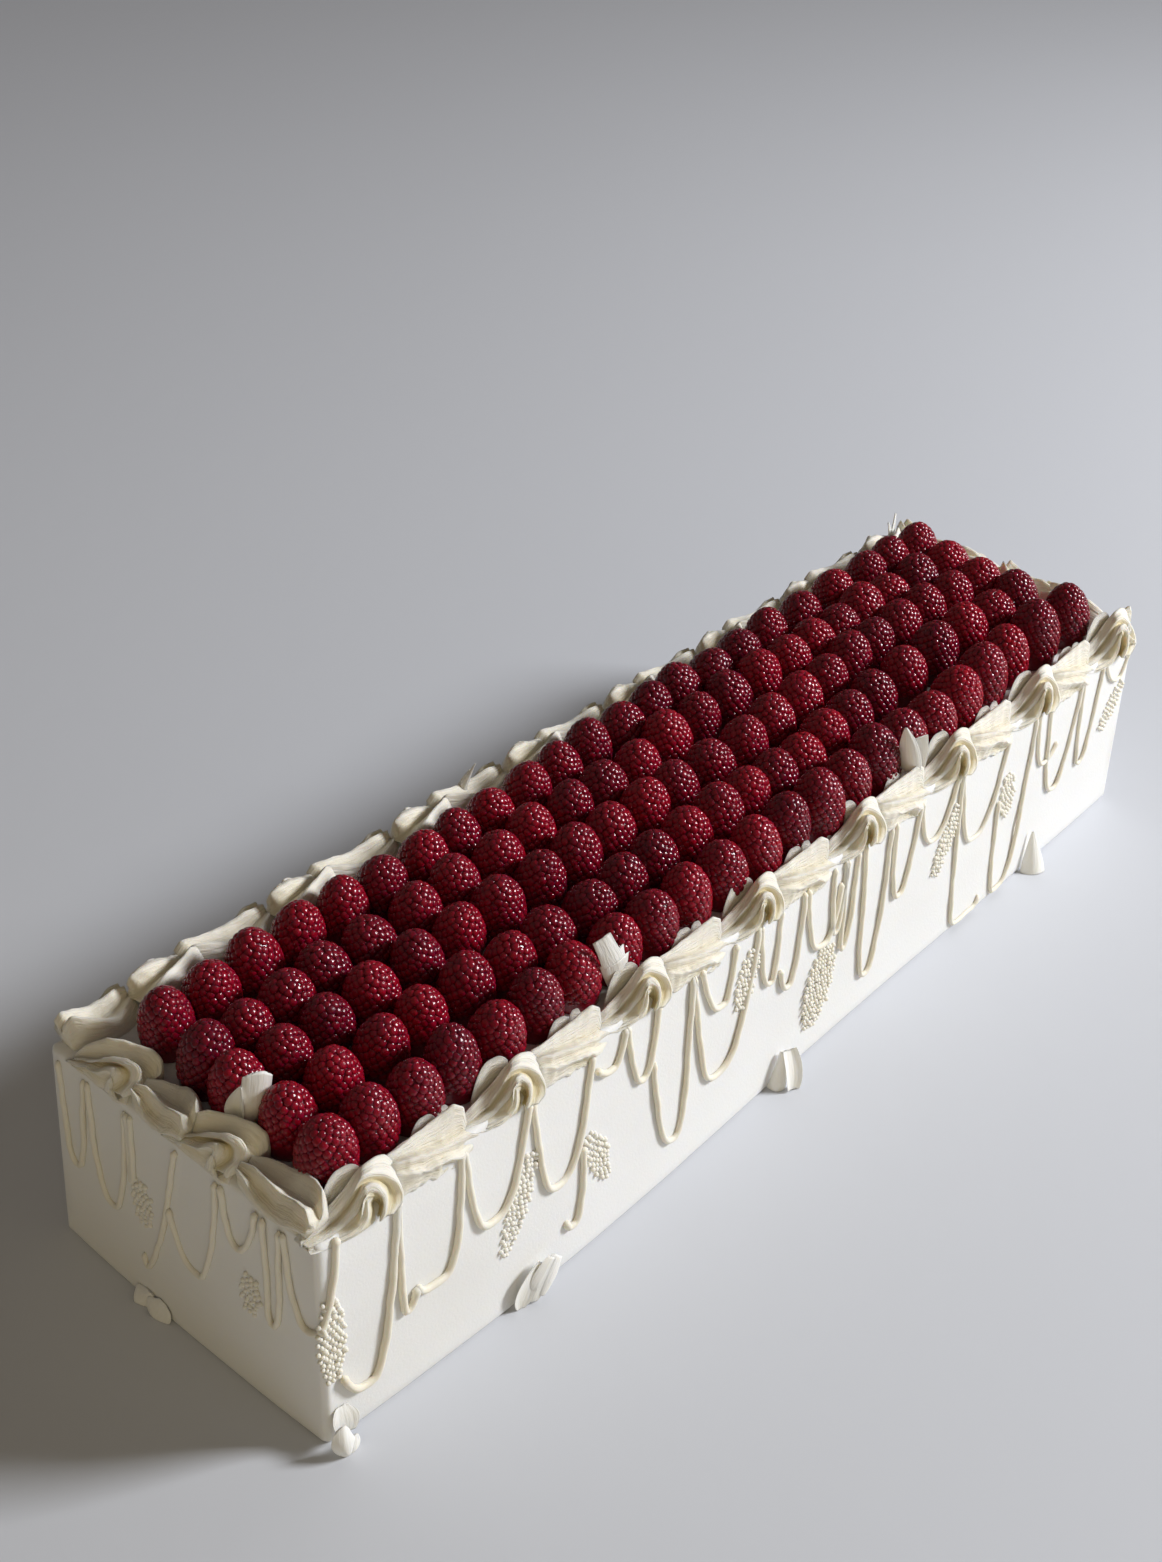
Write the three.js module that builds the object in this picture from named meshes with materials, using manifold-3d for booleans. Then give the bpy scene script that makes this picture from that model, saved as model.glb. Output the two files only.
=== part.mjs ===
// A long buttercream fruit cake: a frosted block with piped drop strings and dots on its sides,
// a piped border of scrolls and shells round its top edge, rows of upright raspberries on top,
// and loose buttercream petals on the border and at the foot. Millimetres, +Z up. The origin is the
// centre of the base, the length runs along X and the front is the side at -Y.
import * as THREE from 'three';
import { mergeVertices } from 'three/addons/utils/BufferGeometryUtils.js';
import Module from 'manifold-3d';

const wasm = await Module();
wasm.setup();

// The frosted block
const LENGTH = 540;
const WIDTH = 140;
const HEIGHT = 95;
const CORNER_RADIUS = 3;
const CORNER_STEPS = 2;

// The raspberries stand in lanes along the cake, one row across at a time
const BERRY_LANES = 5;
const BERRY_ROWS = 23;
const LANE_PITCH = 22.5;
const ROW_PITCH = 22.1;
const FIRST_ROW_FROM_END = 28.5;
const BERRY_HALF_ACROSS = 11.95;
const BERRY_HALF_ALONG = 11.6;
const BERRY_HEIGHT = 24.5;
const BERRY_HEIGHT_SPREAD = 3;
const BERRY_LEAN = 2;

// The piped border
const SCROLL_BACK = 27;
const BORDER_INNER = 12.4;
const BORDER_DROP = 7.3;
const BORDER_REACH = 14;
const BORDER_PAST_CORNER = 12;
const CURL_RADIUS = 6.5;
const CURL_HEIGHT = 4.5;
const GAP = 0.3;

// The thin piping on the sides
const STRING_WIDTH = 2.8;
const STRING_STANDS_OUT = 2.3;
const STRING_TOP = 86;
const WIDE_STRING = 18;
const DOT_RADIUS = 1.25;
const DOTS_A_CLUSTER = 7;
const DOT_SIDES = 3;

const PETAL_THICKNESS = 1.1;

const frosting = () => new THREE.MeshStandardMaterial({ color: 0xe8e5dd, roughness: 0.6, metalness: 0 });
const trim = () => new THREE.MeshStandardMaterial({ color: 0xe9e3d0, roughness: 0.55, metalness: 0 });
const petalWhite = () => new THREE.MeshStandardMaterial({ color: 0xf2f0ea, roughness: 0.6, metalness: 0 });
const berryRed = () => new THREE.MeshStandardMaterial({ color: 0x6e0f1e, roughness: 0.35, metalness: 0 });

// A repeatable number between 0 and 1 for item i and purpose k.
function chance(i, k) {
  const wave = Math.sin(i * 12.9898 + k * 78.233) * 43758.5453;
  return wave - Math.floor(wave);
}

// The same number spread evenly round zero, between -1 and 1.
function sway(i, k) {
  return 2 * chance(i, k) - 1;
}

// A closed geometry as a solid, turned right way out where its faces point in.
function solid(geometry) {
  const bare = geometry.clone();
  bare.deleteAttribute('normal');
  bare.deleteAttribute('uv');
  const merged = mergeVertices(bare);
  const vertProperties = merged.attributes.position.array;
  const triVerts = new Uint32Array(merged.index.array);
  const body = new wasm.Manifold(new wasm.Mesh({ numProp: 3, vertProperties, triVerts }));
  if (body.volume() > 0) {
    return body;
  }
  for (let i = 0; i < triVerts.length; i += 3) {
    [triVerts[i + 1], triVerts[i + 2]] = [triVerts[i + 2], triVerts[i + 1]];
  }
  return new wasm.Manifold(new wasm.Mesh({ numProp: 3, vertProperties, triVerts }));
}

// A solid as a named mesh with its own material.
function named(name, body, material) {
  const cut = body.getMesh();
  const geometry = new THREE.BufferGeometry();
  geometry.setAttribute('position', new THREE.BufferAttribute(new Float32Array(cut.vertProperties), 3));
  geometry.setIndex(Array.from(cut.triVerts));
  const faceted = geometry.toNonIndexed();
  faceted.computeVertexNormals();
  const mesh = new THREE.Mesh(faceted, material);
  mesh.name = name;
  return mesh;
}

// A closed body whose section is carried along a path: corner(k, t) gives corner k of the section at
// t from 0 to 1 along it, and each end is closed by a fan round the middle of its corners.
function carried(corners, steps, corner) {
  const shape = new THREE.CylinderGeometry(1, 1, 1, corners, steps);
  const place = shape.attributes.position;
  const turn = 2 * Math.PI / corners;
  for (let i = 0; i < place.count; i += 1) {
    const t = Math.round((0.5 - place.getY(i)) * steps) / steps;
    const across = Math.hypot(place.getX(i), place.getZ(i));
    let at = new THREE.Vector3();
    if (across < 0.5) {
      for (let k = 0; k < corners; k += 1) {
        at.addScaledVector(corner(k, t), 1 / corners);
      }
    } else {
      const k = Math.round(Math.atan2(place.getX(i), place.getZ(i)) / turn + corners) % corners;
      at = corner(k, t);
    }
    place.setXYZ(i, at.x, at.y, at.z);
  }
  return shape;
}

// Each side of the cake has its own local frame: x runs along the side, y inward and z up from the
// table, and it starts at the side's left corner as seen from outside.
function sideFrame(quarterTurns) {
  const startX = quarterTurns === 0 || quarterTurns === 3 ? -LENGTH / 2 : LENGTH / 2;
  const startY = quarterTurns < 2 ? -WIDTH / 2 : WIDTH / 2;
  const turned = new THREE.Matrix4().makeRotationZ(quarterTurns * Math.PI / 2);
  return new THREE.Matrix4().makeTranslation(startX, startY, 0).multiply(turned);
}

const FRONT = { name: 'front', frame: sideFrame(0), long: LENGTH };
const RIGHT = { name: 'right', frame: sideFrame(1), long: WIDTH };
const BACK = { name: 'back', frame: sideFrame(2), long: LENGTH };
const LEFT = { name: 'left', frame: sideFrame(3), long: WIDTH };

// An upright prism over an outline of [x, y] points, from z = low to z = high.
function prism(outline, low, high) {
  const shape = new THREE.Shape(outline.map(([x, y]) => new THREE.Vector2(x, y)));
  const body = new THREE.ExtrudeGeometry(shape, { depth: high - low, bevelEnabled: false });
  return body.translate(0, 0, low);
}

// The outline of the block with its upright corners rounded, grown outward by the given amount.
function blockOutline(grow) {
  const points = [];
  const radius = CORNER_RADIUS + grow;
  for (let corner = 0; corner < 4; corner += 1) {
    const sideX = corner === 0 || corner === 3 ? 1 : -1;
    const sideY = corner < 2 ? 1 : -1;
    for (let step = 0; step <= CORNER_STEPS; step += 1) {
      const angle = (corner + step / CORNER_STEPS) * Math.PI / 2;
      const x = sideX * (LENGTH / 2 - CORNER_RADIUS) + radius * Math.cos(angle);
      const y = sideY * (WIDTH / 2 - CORNER_RADIUS) + radius * Math.sin(angle);
      points.push([x, y]);
    }
  }
  return points;
}

// The thin drop strings, each a loop that hangs from the border:
// [where it starts, its lowest place, height there, where it ends, height of its start, of its end,
// how steep its legs are]. Places run along the side from its left corner, heights from the table,
// and T is the height where a string comes out from under the border.
const T = STRING_TOP;
const LONG_SIDE_STRINGS = [
  [-1, 0, 57, 8, 57, T, 2.2], [9, 24, 11, 35, 26, T, 2.6], [36, 49, 35, 68, T, T, 3],
  [69, 84, 44, 103, T, T, 2.6], [105, 120, 37, 137, T, T, 2.6], [126, 129, 5, 133, 10, 44, 4],
  [139, 148, 74, 155, 80, T, 2.2], [156, 169, 56, 175, T, T, 2.6], [175, 191, 7, 196, 60, T, 3],
  [197, 218, 24, 239, T, T, 3], [202, 219, 60, 223, T, T, 2.6], [241, 253, 54, 256, T, T, 2.6],
  [257, 264, 42, 268, 56, T, 3], [271, 288, 50, 297, T, 80, 3], [290, 295, 53, 299, T, T, 4],
  [299, 303, 40, 307, T, T, 4], [313, 325, 12, 332, T, T, 4], [335, 345, 45, 354, T, T, 3],
  [355, 370, 62, 385, T, T, 2.4], [388, 412, 2, 421, T, 6, 9], [389, 408, 43, 428, T, T, 2.8],
  [426, 437, 2, 450, 54, T, 5], [453, 467, 56, 476, T, 64, 2.8], [463, 481, 34, 492, T, T, 2.8],
  [494, 504, 37, 512, T, T, 3], [515, 531, 75, 539, T, T, 2.2],
];
const SHORT_SIDE_STRINGS = [
  [2, 9, 37, 16, T, T, 3], [19, 29, 30, 39, T, T, 3], [40, 41, 53, 42, T, T, 6],
  [44, 46, 8, 65, 18, T, 1.8], [60, 76, 30, 86, 52, T, 2.6], [88, 98, 63, 107, T, T, 2.2],
  [110, 113, 36, 118, T, T, 4], [120, 132, 47, 141, T, 57, 2.2],
];

// Clusters of tiny dots between the strings: [x, z] of the top and of the foot, and the widest place.
const LONG_SIDE_DOTS = [
  [5, 68, 6, 26, 10], [102, 62, 88, 21, 9], [136, 48, 150, 18, 9], [235, 80, 229, 52, 12],
  [291, 48, 285, 5, 20], [387, 71, 374, 38, 9], [431, 66, 436, 41, 11], [537, 70, 522, 48, 9],
];
const SHORT_SIDE_DOTS = [[48, 60, 47, 36, 11], [105, 56, 103, 36, 10]];

// The line of one string in the plane of its side, from u = -1 through its lowest place to u = 1.
function stringPoint([from, lowest, low, to, fromTop, toTop, steep], u) {
  const reach = u < 0 ? lowest - from : to - lowest;
  const rise = (u < 0 ? fromTop : toTop) - low;
  return new THREE.Vector2(lowest + u * reach, low + rise * Math.abs(u) ** steep);
}

// One string: a three-sided bead along its line, its flat back on the frosting.
function dropString(line) {
  const along = (t) => -Math.cos(Math.PI * t);
  const steps = line[3] - line[0] < WIDE_STRING ? 4 : 6;
  return carried(3, steps, (k, t) => {
    const here = stringPoint(line, along(t));
    const before = stringPoint(line, along(Math.max(0, t - 0.04)));
    const after = stringPoint(line, along(Math.min(1, t + 0.04)));
    const heading = after.sub(before).normalize();
    const side = [-STRING_WIDTH / 2, STRING_WIDTH / 2, 0][k];
    const depth = [0, 0, -STRING_STANDS_OUT][k];
    return new THREE.Vector3(here.x - side * heading.y, depth, here.y + side * heading.x);
  });
}

// One dot: a small pyramid with its flat back on the frosting.
function dot(x, z) {
  const shape = new THREE.ConeGeometry(DOT_RADIUS, 1, DOT_SIDES, 1);
  const place = shape.attributes.position;
  for (let i = 0; i < place.count; i += 1) {
    const depth = place.getY(i) > 0 ? -DOT_RADIUS : 0;
    place.setXYZ(i, x + place.getX(i), depth, z + place.getZ(i));
  }
  return shape;
}

// The dots of one cluster: a leaf-shaped patch, its places spread by the golden ratio.
function clusterDots([topX, topZ, footX, footZ, widest], seed) {
  const dots = [];
  for (let i = 0; i < DOTS_A_CLUSTER; i += 1) {
    const down = (i + 0.5) / DOTS_A_CLUSTER;
    const across = (i * 0.618034 + 0.3) % 1 - 0.5;
    const room = (widest - 2 * DOT_RADIUS) * Math.sin(Math.PI * (0.12 + 0.8 * down));
    const x = topX + (footX - topX) * down + room * across;
    const z = topZ + (footZ - topZ) * down + 0.6 * sway(seed + i, 5);
    dots.push(dot(x, z));
  }
  return dots;
}

// The frosted block with the strings and dots that are piped on its sides, as one piece.
function cake() {
  let body = solid(prism(blockOutline(0), 0, HEIGHT));
  const piping = [
    [FRONT, LONG_SIDE_STRINGS, LONG_SIDE_DOTS], [RIGHT, SHORT_SIDE_STRINGS, SHORT_SIDE_DOTS],
    [BACK, LONG_SIDE_STRINGS, LONG_SIDE_DOTS], [LEFT, SHORT_SIDE_STRINGS, SHORT_SIDE_DOTS],
  ];
  for (const [side, strings, clusters] of piping) {
    for (const line of strings) {
      body = body.add(solid(dropString(line).applyMatrix4(side.frame)));
    }
    clusters.forEach((cluster, index) => {
      for (const one of clusterDots(cluster, 40 * index)) {
        body = body.add(solid(one.applyMatrix4(side.frame)));
      }
    });
  }
  return body;
}

// The scroll: a ridged stroke that rises from a thin tail, turns over a round curl and ends on the
// outer face. Its ridges, as [away from the curl's middle, outward] at full size:
const SCROLL_SECTION = [
  [4.6, -6.2], [5.4, 1.0], [1.2, 0.8], [0.8, 5.0], [-1.2, 3.0], [-3.2, 5.2], [-4.8, -4.0],
];
const SCROLL_STEPS = 6;
const TAIL_SHARE = 1 / 3;
const TAIL_RISE = 2.5;
const SCROLL_INSET = 6;
const TAIL_SIZE = 0.42;
const CURL_SIZE = 0.92;

// The middle of the scroll's stroke at t, in the side's frame, its heading and its size. The tail
// bends up to meet the curl at 45 degrees, and the curl turns clockwise round its middle.
function scrollStroke(t) {
  const meet = 3 * Math.PI / 4;
  if (t < TAIL_SHARE) {
    const u = t / TAIL_SHARE;
    const endX = CURL_RADIUS * Math.cos(meet);
    const endZ = CURL_HEIGHT + CURL_RADIUS * Math.sin(meet);
    const x = -SCROLL_BACK + (endX + SCROLL_BACK) * u;
    const z = TAIL_RISE + (endZ - TAIL_RISE) * u ** 2;
    const heading = Math.atan2(2 * (endZ - TAIL_RISE) * u, endX + SCROLL_BACK);
    const size = TAIL_SIZE + (CURL_SIZE - TAIL_SIZE) * u;
    return { x, y: SCROLL_INSET - 1.5 * (1 - u), z, heading, size };
  }
  const u = (t - TAIL_SHARE) / (1 - TAIL_SHARE);
  const angle = meet - u * (meet + Math.PI / 4);
  const x = CURL_RADIUS * Math.cos(angle);
  const z = CURL_HEIGHT + CURL_RADIUS * Math.sin(angle);
  const size = CURL_SIZE + 0.12 * Math.sin(Math.PI * u);
  return { x, y: SCROLL_INSET - 5.5 * u, z, heading: angle - Math.PI / 2, size };
}

function scroll(middle, size) {
  return carried(SCROLL_SECTION.length, SCROLL_STEPS, (k, t) => {
    const stroke = scrollStroke(t);
    const [away, outward] = SCROLL_SECTION[k];
    const x = middle + stroke.x - away * stroke.size * size * Math.sin(stroke.heading);
    const y = stroke.y - outward * stroke.size * size;
    const z = HEIGHT + stroke.z + away * stroke.size * size * Math.cos(stroke.heading);
    return new THREE.Vector3(x, y, z);
  });
}

// The shell: a straight ridged stroke that starts under the curl and opens towards its far end, with
// a tall wing on top. Its ridges, as [outward, up] at full size:
const SHELL_SECTION = [
  [1.2, 10.6], [2.8, 3.8], [7.2, 3.4], [8.4, -3.6], [-7.6, -3.5], [-6.0, 8.0], [-1.5, 4.4],
];
const SHELL_START = 5;
const SHELL_STEPS = 2;

function shell(middle, reach, size) {
  return carried(SHELL_SECTION.length, SHELL_STEPS, (k, t) => {
    const [outward, up] = SHELL_SECTION[k];
    const opened = size * (0.5 + 0.5 * Math.sin(Math.PI / 2 * t));
    const x = middle + SHELL_START + (reach - SHELL_START) * t;
    return new THREE.Vector3(x, 3.2 + 1.4 * t - outward * opened, HEIGHT + 0.8 + 3.2 * t + up * opened);
  });
}

// The smear of buttercream under each stroke, wrapped over the top edge, as [outward, up].
const BASE_SECTION = [
  [-1, -BORDER_DROP], [3.4, -BORDER_DROP], [4.8, -3], [3.0, 3.5], [-4, 6.5], [-BORDER_INNER, 3],
  [-BORDER_INNER, -1],
];

function borderBase(from, to) {
  return carried(BASE_SECTION.length, 1, (k, t) => {
    const [outward, up] = BASE_SECTION[k];
    return new THREE.Vector3(from + (to - from) * t, -outward, HEIGHT + up);
  });
}

// One motif of the border, a scroll and the shell after it, clear of the block and cut at the
// mitres of the side's corners.
function motif(side, from, middle, to, seed) {
  const size = 1 + 0.05 * sway(seed, 1);
  let body = solid(borderBase(from, to)).add(solid(scroll(middle, size)));
  if (to - middle > 2 * SHELL_START) {
    body = body.add(solid(shell(middle, to - middle, 1 + 0.06 * sway(seed, 2))));
  }
  const out = -BORDER_REACH;
  const mitre = prism([
    [out + GAP, out], [side.long - out - GAP, out],
    [side.long - BORDER_INNER - GAP, BORDER_INNER], [BORDER_INNER + GAP, BORDER_INNER],
  ], 0, 2 * HEIGHT);
  const stretch = prism([[from, out], [to, out], [to, BORDER_REACH], [from, BORDER_REACH]], 0, 2 * HEIGHT);
  const block = prism(blockOutline(GAP), -1, HEIGHT + GAP);
  body = body.intersect(solid(mitre)).intersect(solid(stretch));
  return body.transform(Array.from(side.frame.elements)).subtract(solid(block));
}

// The middles of the scrolls on each side: how many, the first and the distance between two.
const BORDER_RUNS = [
  { side: FRONT, count: 8, first: 26, pitch: 71 }, { side: RIGHT, count: 2, first: 52, pitch: 64 },
  { side: BACK, count: 8, first: 42, pitch: 66.5 }, { side: LEFT, count: 2, first: 39, pitch: 66 },
];

// All motifs of one side, as [name, solid]. The first reaches back to the corner and the last on to the
// next corner.
function borderRun({ side, count, first, pitch }) {
  const motifs = [];
  for (let i = 0; i < count; i += 1) {
    const middle = first + pitch * i + 1.2 * sway(i, 3);
    const next = first + pitch * (i + 1) + 1.2 * sway(i + 1, 3);
    const from = i === 0 ? -BORDER_PAST_CORNER : middle - SCROLL_BACK + GAP;
    const to = i === count - 1 ? side.long + BORDER_PAST_CORNER : next - SCROLL_BACK - GAP;
    const name = `border_${side.name}_${String(i + 1).padStart(2, '0')}`;
    motifs.push([name, motif(side, from, middle, to, i)]);
  }
  return motifs;
}

// The outline of a raspberry from its tip down to its base, as shares of its height and half width.
const BERRY_PROFILE = [[1, 0], [0.72, 0.82], [0, 1], [0, 0]];
const BERRY_SIDES = 6;

// One raspberry standing on its wide end, tip up, leaning a little.
function raspberry(row, lane) {
  const seed = row * BERRY_LANES + lane;
  const berry = new THREE.SphereGeometry(1, BERRY_SIDES, BERRY_PROFILE.length - 1);
  const place = berry.attributes.position;
  const tall = BERRY_HEIGHT + BERRY_HEIGHT_SPREAD * (chance(seed, 11) - 0.5);
  const leanAlong = BERRY_LEAN * sway(seed, 12);
  const leanAcross = BERRY_LEAN * sway(seed, 13);
  for (let i = 0; i < place.count; i += 1) {
    const ring = Math.round(Math.acos(place.getY(i)) / Math.PI * (BERRY_PROFILE.length - 1));
    const [up, out] = BERRY_PROFILE[ring];
    const turn = 2 * Math.PI / BERRY_SIDES;
    const angle = Math.round(Math.atan2(place.getZ(i), place.getX(i)) / turn) * turn;
    const x = BERRY_HALF_ALONG * out * Math.sin(angle) + leanAlong * up * up;
    const y = BERRY_HALF_ACROSS * out * Math.cos(angle) + leanAcross * up * up;
    place.setXYZ(i, x, y, tall * up);
  }
  const x = -LENGTH / 2 + FIRST_ROW_FROM_END + ROW_PITCH * row + 0.4 * sway(seed, 14);
  const y = LANE_PITCH * (lane - (BERRY_LANES - 1) / 2) + 0.25 * sway(seed, 15);
  return berry.translate(x, y, HEIGHT + GAP);
}

// One row of raspberries across the cake, fused where they touch.
function berryRow(row) {
  let body = solid(raspberry(row, 0));
  for (let lane = 1; lane < BERRY_LANES; lane += 1) {
    body = body.add(solid(raspberry(row, lane)));
  }
  return body;
}

// A loose petal: a thin wavy sheet that stands on its narrow end, in its own frame with its face
// along X. Its sides fold forward by cup, its tip bends by curl, and lean tips it, all in mm at the top.
function petal({ wide, tall, cup, curl, lean, foot }) {
  const sheet = new THREE.BoxGeometry(1, 1, 1, 4, 2, 1);
  const place = sheet.attributes.position;
  for (let i = 0; i < place.count; i += 1) {
    const u = 2 * place.getX(i);
    const v = place.getY(i) + 0.5;
    const half = wide / 2 * (foot + (1 - foot) * Math.sin(Math.PI * (0.12 + 0.7 * v)));
    const crown = tall * (v - 0.12 * u * u * v);
    const forward = cup * Math.abs(u) ** 1.5 + curl * v * v * Math.cos(2.2 * u) + lean * v;
    place.setXYZ(i, half * u, PETAL_THICKNESS * place.getZ(i) - forward, crown);
  }
  return sheet;
}

// The petals: where each stands as [x from the left end, y from the front face, z], how it is turned,
// and its form. Those on top stand on the cake just inside the border, or are pressed into the border
// that a name says. Those at the foot stand on the table, a hair off the frosting.
const ON_CAKE = HEIGHT + GAP;
const PETALS = {
  petal_left_end: {
    at: [15.4, 55, ON_CAKE], turn: 80, wide: 13, tall: 27, cup: 1.2, curl: -1, lean: -0.4, foot: 0.45,
  },
  petal_front_near: {
    at: [150, 15.2, ON_CAKE], turn: 0, wide: 12, tall: 28, cup: -0.5, curl: 0.8, lean: 0.6, foot: 0.5,
  },
  petal_front_far: {
    at: [349, 15.2, ON_CAKE], turn: 0, wide: 13, tall: 27, cup: 0.8, curl: 0.6, lean: 0.6, foot: 0.5,
  },
  petal_back: {
    at: [203, 137, ON_CAKE], turn: 180, wide: 8, tall: 24, cup: 1.2, curl: 1, lean: 2.5, foot: 0.6,
    border: 'border_back_05',
  },
  petal_far_corner: {
    at: [518, 136, ON_CAKE], turn: 180, wide: 12, tall: 24, cup: 1.8, curl: 1.2, lean: 1.5, foot: 0.6,
    border: 'border_back_01',
  },
  petal_foot_corner: {
    at: [9, -5, 0], turn: 0, wide: 12, tall: 20, cup: 2.2, curl: 1, lean: -3, foot: 0.7,
  },
  petal_foot_front_near: {
    at: [104, -8.5, 0], turn: 8, wide: 21, tall: 16, cup: 3, curl: 1.5, lean: -3.5, foot: 0.75,
  },
  petal_foot_front_middle: {
    at: [259, -8, 0], turn: -18, wide: 14, tall: 18, cup: 4, curl: 1, lean: -2.5, foot: 0.7,
  },
  petal_foot_front_far: {
    at: [461, -8.5, 0], turn: 5, wide: 12, tall: 20, cup: 4.5, curl: 0.5, lean: -3, foot: 0.8,
  },
  petal_foot_left_end: {
    at: [-8, 88, 0], turn: -90, wide: 21, tall: 13, cup: 2.4, curl: 1.2, lean: -3.5, foot: 0.75,
  },
};

// A petal in its place, cut clear of the border that it is pressed into.
function placedPetal(form, borders) {
  const sheet = petal(form);
  sheet.rotateZ(THREE.MathUtils.degToRad(form.turn));
  const [x, y, z] = form.at;
  const body = solid(sheet.translate(x - LENGTH / 2, y - WIDTH / 2, z));
  if (!form.border) {
    return body;
  }
  const under = borders.get(form.border);
  const steps = [[0, 0, 0], [0, 0, GAP], [0, GAP, 0], [0, -GAP, 0]];
  return steps.reduce((left, step) => left.subtract(under.translate(step)), body);
}

const model = new THREE.Group();
model.add(named('cake', cake(), frosting()));
const borders = new Map(BORDER_RUNS.flatMap(borderRun));
for (const [name, body] of borders) {
  model.add(named(name, body, trim()));
}
for (let row = 0; row < BERRY_ROWS; row += 1) {
  model.add(named(`raspberries_row_${String(row + 1).padStart(2, '0')}`, berryRow(row), berryRed()));
}
for (const [name, form] of Object.entries(PETALS)) {
  model.add(named(name, placedPetal(form, borders), petalWhite()));
}

export default model;
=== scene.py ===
import bpy
import numpy as np
from mathutils import Matrix


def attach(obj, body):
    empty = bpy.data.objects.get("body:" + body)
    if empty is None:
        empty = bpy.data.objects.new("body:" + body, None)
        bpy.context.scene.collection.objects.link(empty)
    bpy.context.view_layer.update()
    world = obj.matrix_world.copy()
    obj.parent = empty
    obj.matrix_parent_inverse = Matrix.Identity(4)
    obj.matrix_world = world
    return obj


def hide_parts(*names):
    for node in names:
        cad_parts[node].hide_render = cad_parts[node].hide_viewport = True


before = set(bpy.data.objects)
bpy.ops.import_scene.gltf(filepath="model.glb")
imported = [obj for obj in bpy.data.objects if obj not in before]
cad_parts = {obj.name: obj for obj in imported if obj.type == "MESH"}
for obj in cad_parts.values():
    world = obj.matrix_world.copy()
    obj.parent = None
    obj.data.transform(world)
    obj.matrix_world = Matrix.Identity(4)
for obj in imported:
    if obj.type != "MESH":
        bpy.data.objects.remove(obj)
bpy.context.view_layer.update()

# The cake: a long block of layers under smooth white buttercream, pulled flat with a scraper by hand,
# so its faces are a little bowed and its upright corners are nearly sharp.
# Lengths here and below are in millimetres, and skin() puts them into the mesh in metres.
LENGTH, WIDTH, HEIGHT = 540.0, 140.0, 95.0
CORNER = 3.0


def chance(i, k):
    """A repeatable number from 0 to 1 for item i and purpose k: what a large sine has past its point."""
    wave = np.sin(i * 12.9898 + k * 78.233) * 43758.5453
    return wave - np.floor(wave)


def sway(i, k):
    """The same number spread evenly between -1 and 1."""
    return 2 * chance(i, k) - 1


def wander(t, seed):
    """A smooth line of uneven waves between about -1 and 1: three sines of t with drawn phases."""
    slow, middling, quick = (6.2832 * chance(seed, k) for k in (31, 32, 33))
    waves = np.sin(t + slow) + 0.6 * np.sin(2.3 * t + middling) + 0.4 * np.sin(4.9 * t + quick)
    return waves / 1.6


def tube_faces(rings, corners):
    """The faces of a closed tube by the numbers of its points, and the way round and the way along of
    each face's corners, from 0 to 1: quads between one ring and the next, and at each end a fan of
    triangles to the middle, whose number comes after those of the rings."""
    here = np.arange(corners)
    after = (here + 1) % corners
    ring = np.arange(rings - 1)[:, None] * corners
    quads = np.stack([ring + here, ring + after, ring + corners + after, ring + corners + here], -1)
    last = (rings - 1) * corners
    middle = np.full(corners, rings * corners)
    fans = np.concatenate([
        np.stack([middle, after, here], -1), np.stack([middle + 1, last + here, last + after], -1),
    ])
    around = np.stack([here, here + 1, here + 1, here], -1) / corners
    low, high = 0 * ring, 0 * ring + 1
    along = np.stack([low, low, high, high], -1) + ring[..., None] / corners
    quad_ways = np.stack(np.broadcast_arrays(around, along / (rings - 1)), -1)
    fan_around = np.stack([here + 0.5, here + 1, here], -1) / corners
    first_fan = np.stack([fan_around, fan_around * 0], -1)
    last_fan = np.stack([fan_around[:, [0, 2, 1]], fan_around * 0 + 1], -1)
    ways = np.concatenate([part.reshape(-1, 2) for part in (quad_ways, first_fan, last_fan)])
    return quads.reshape(-1, 4), fans, ways


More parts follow.
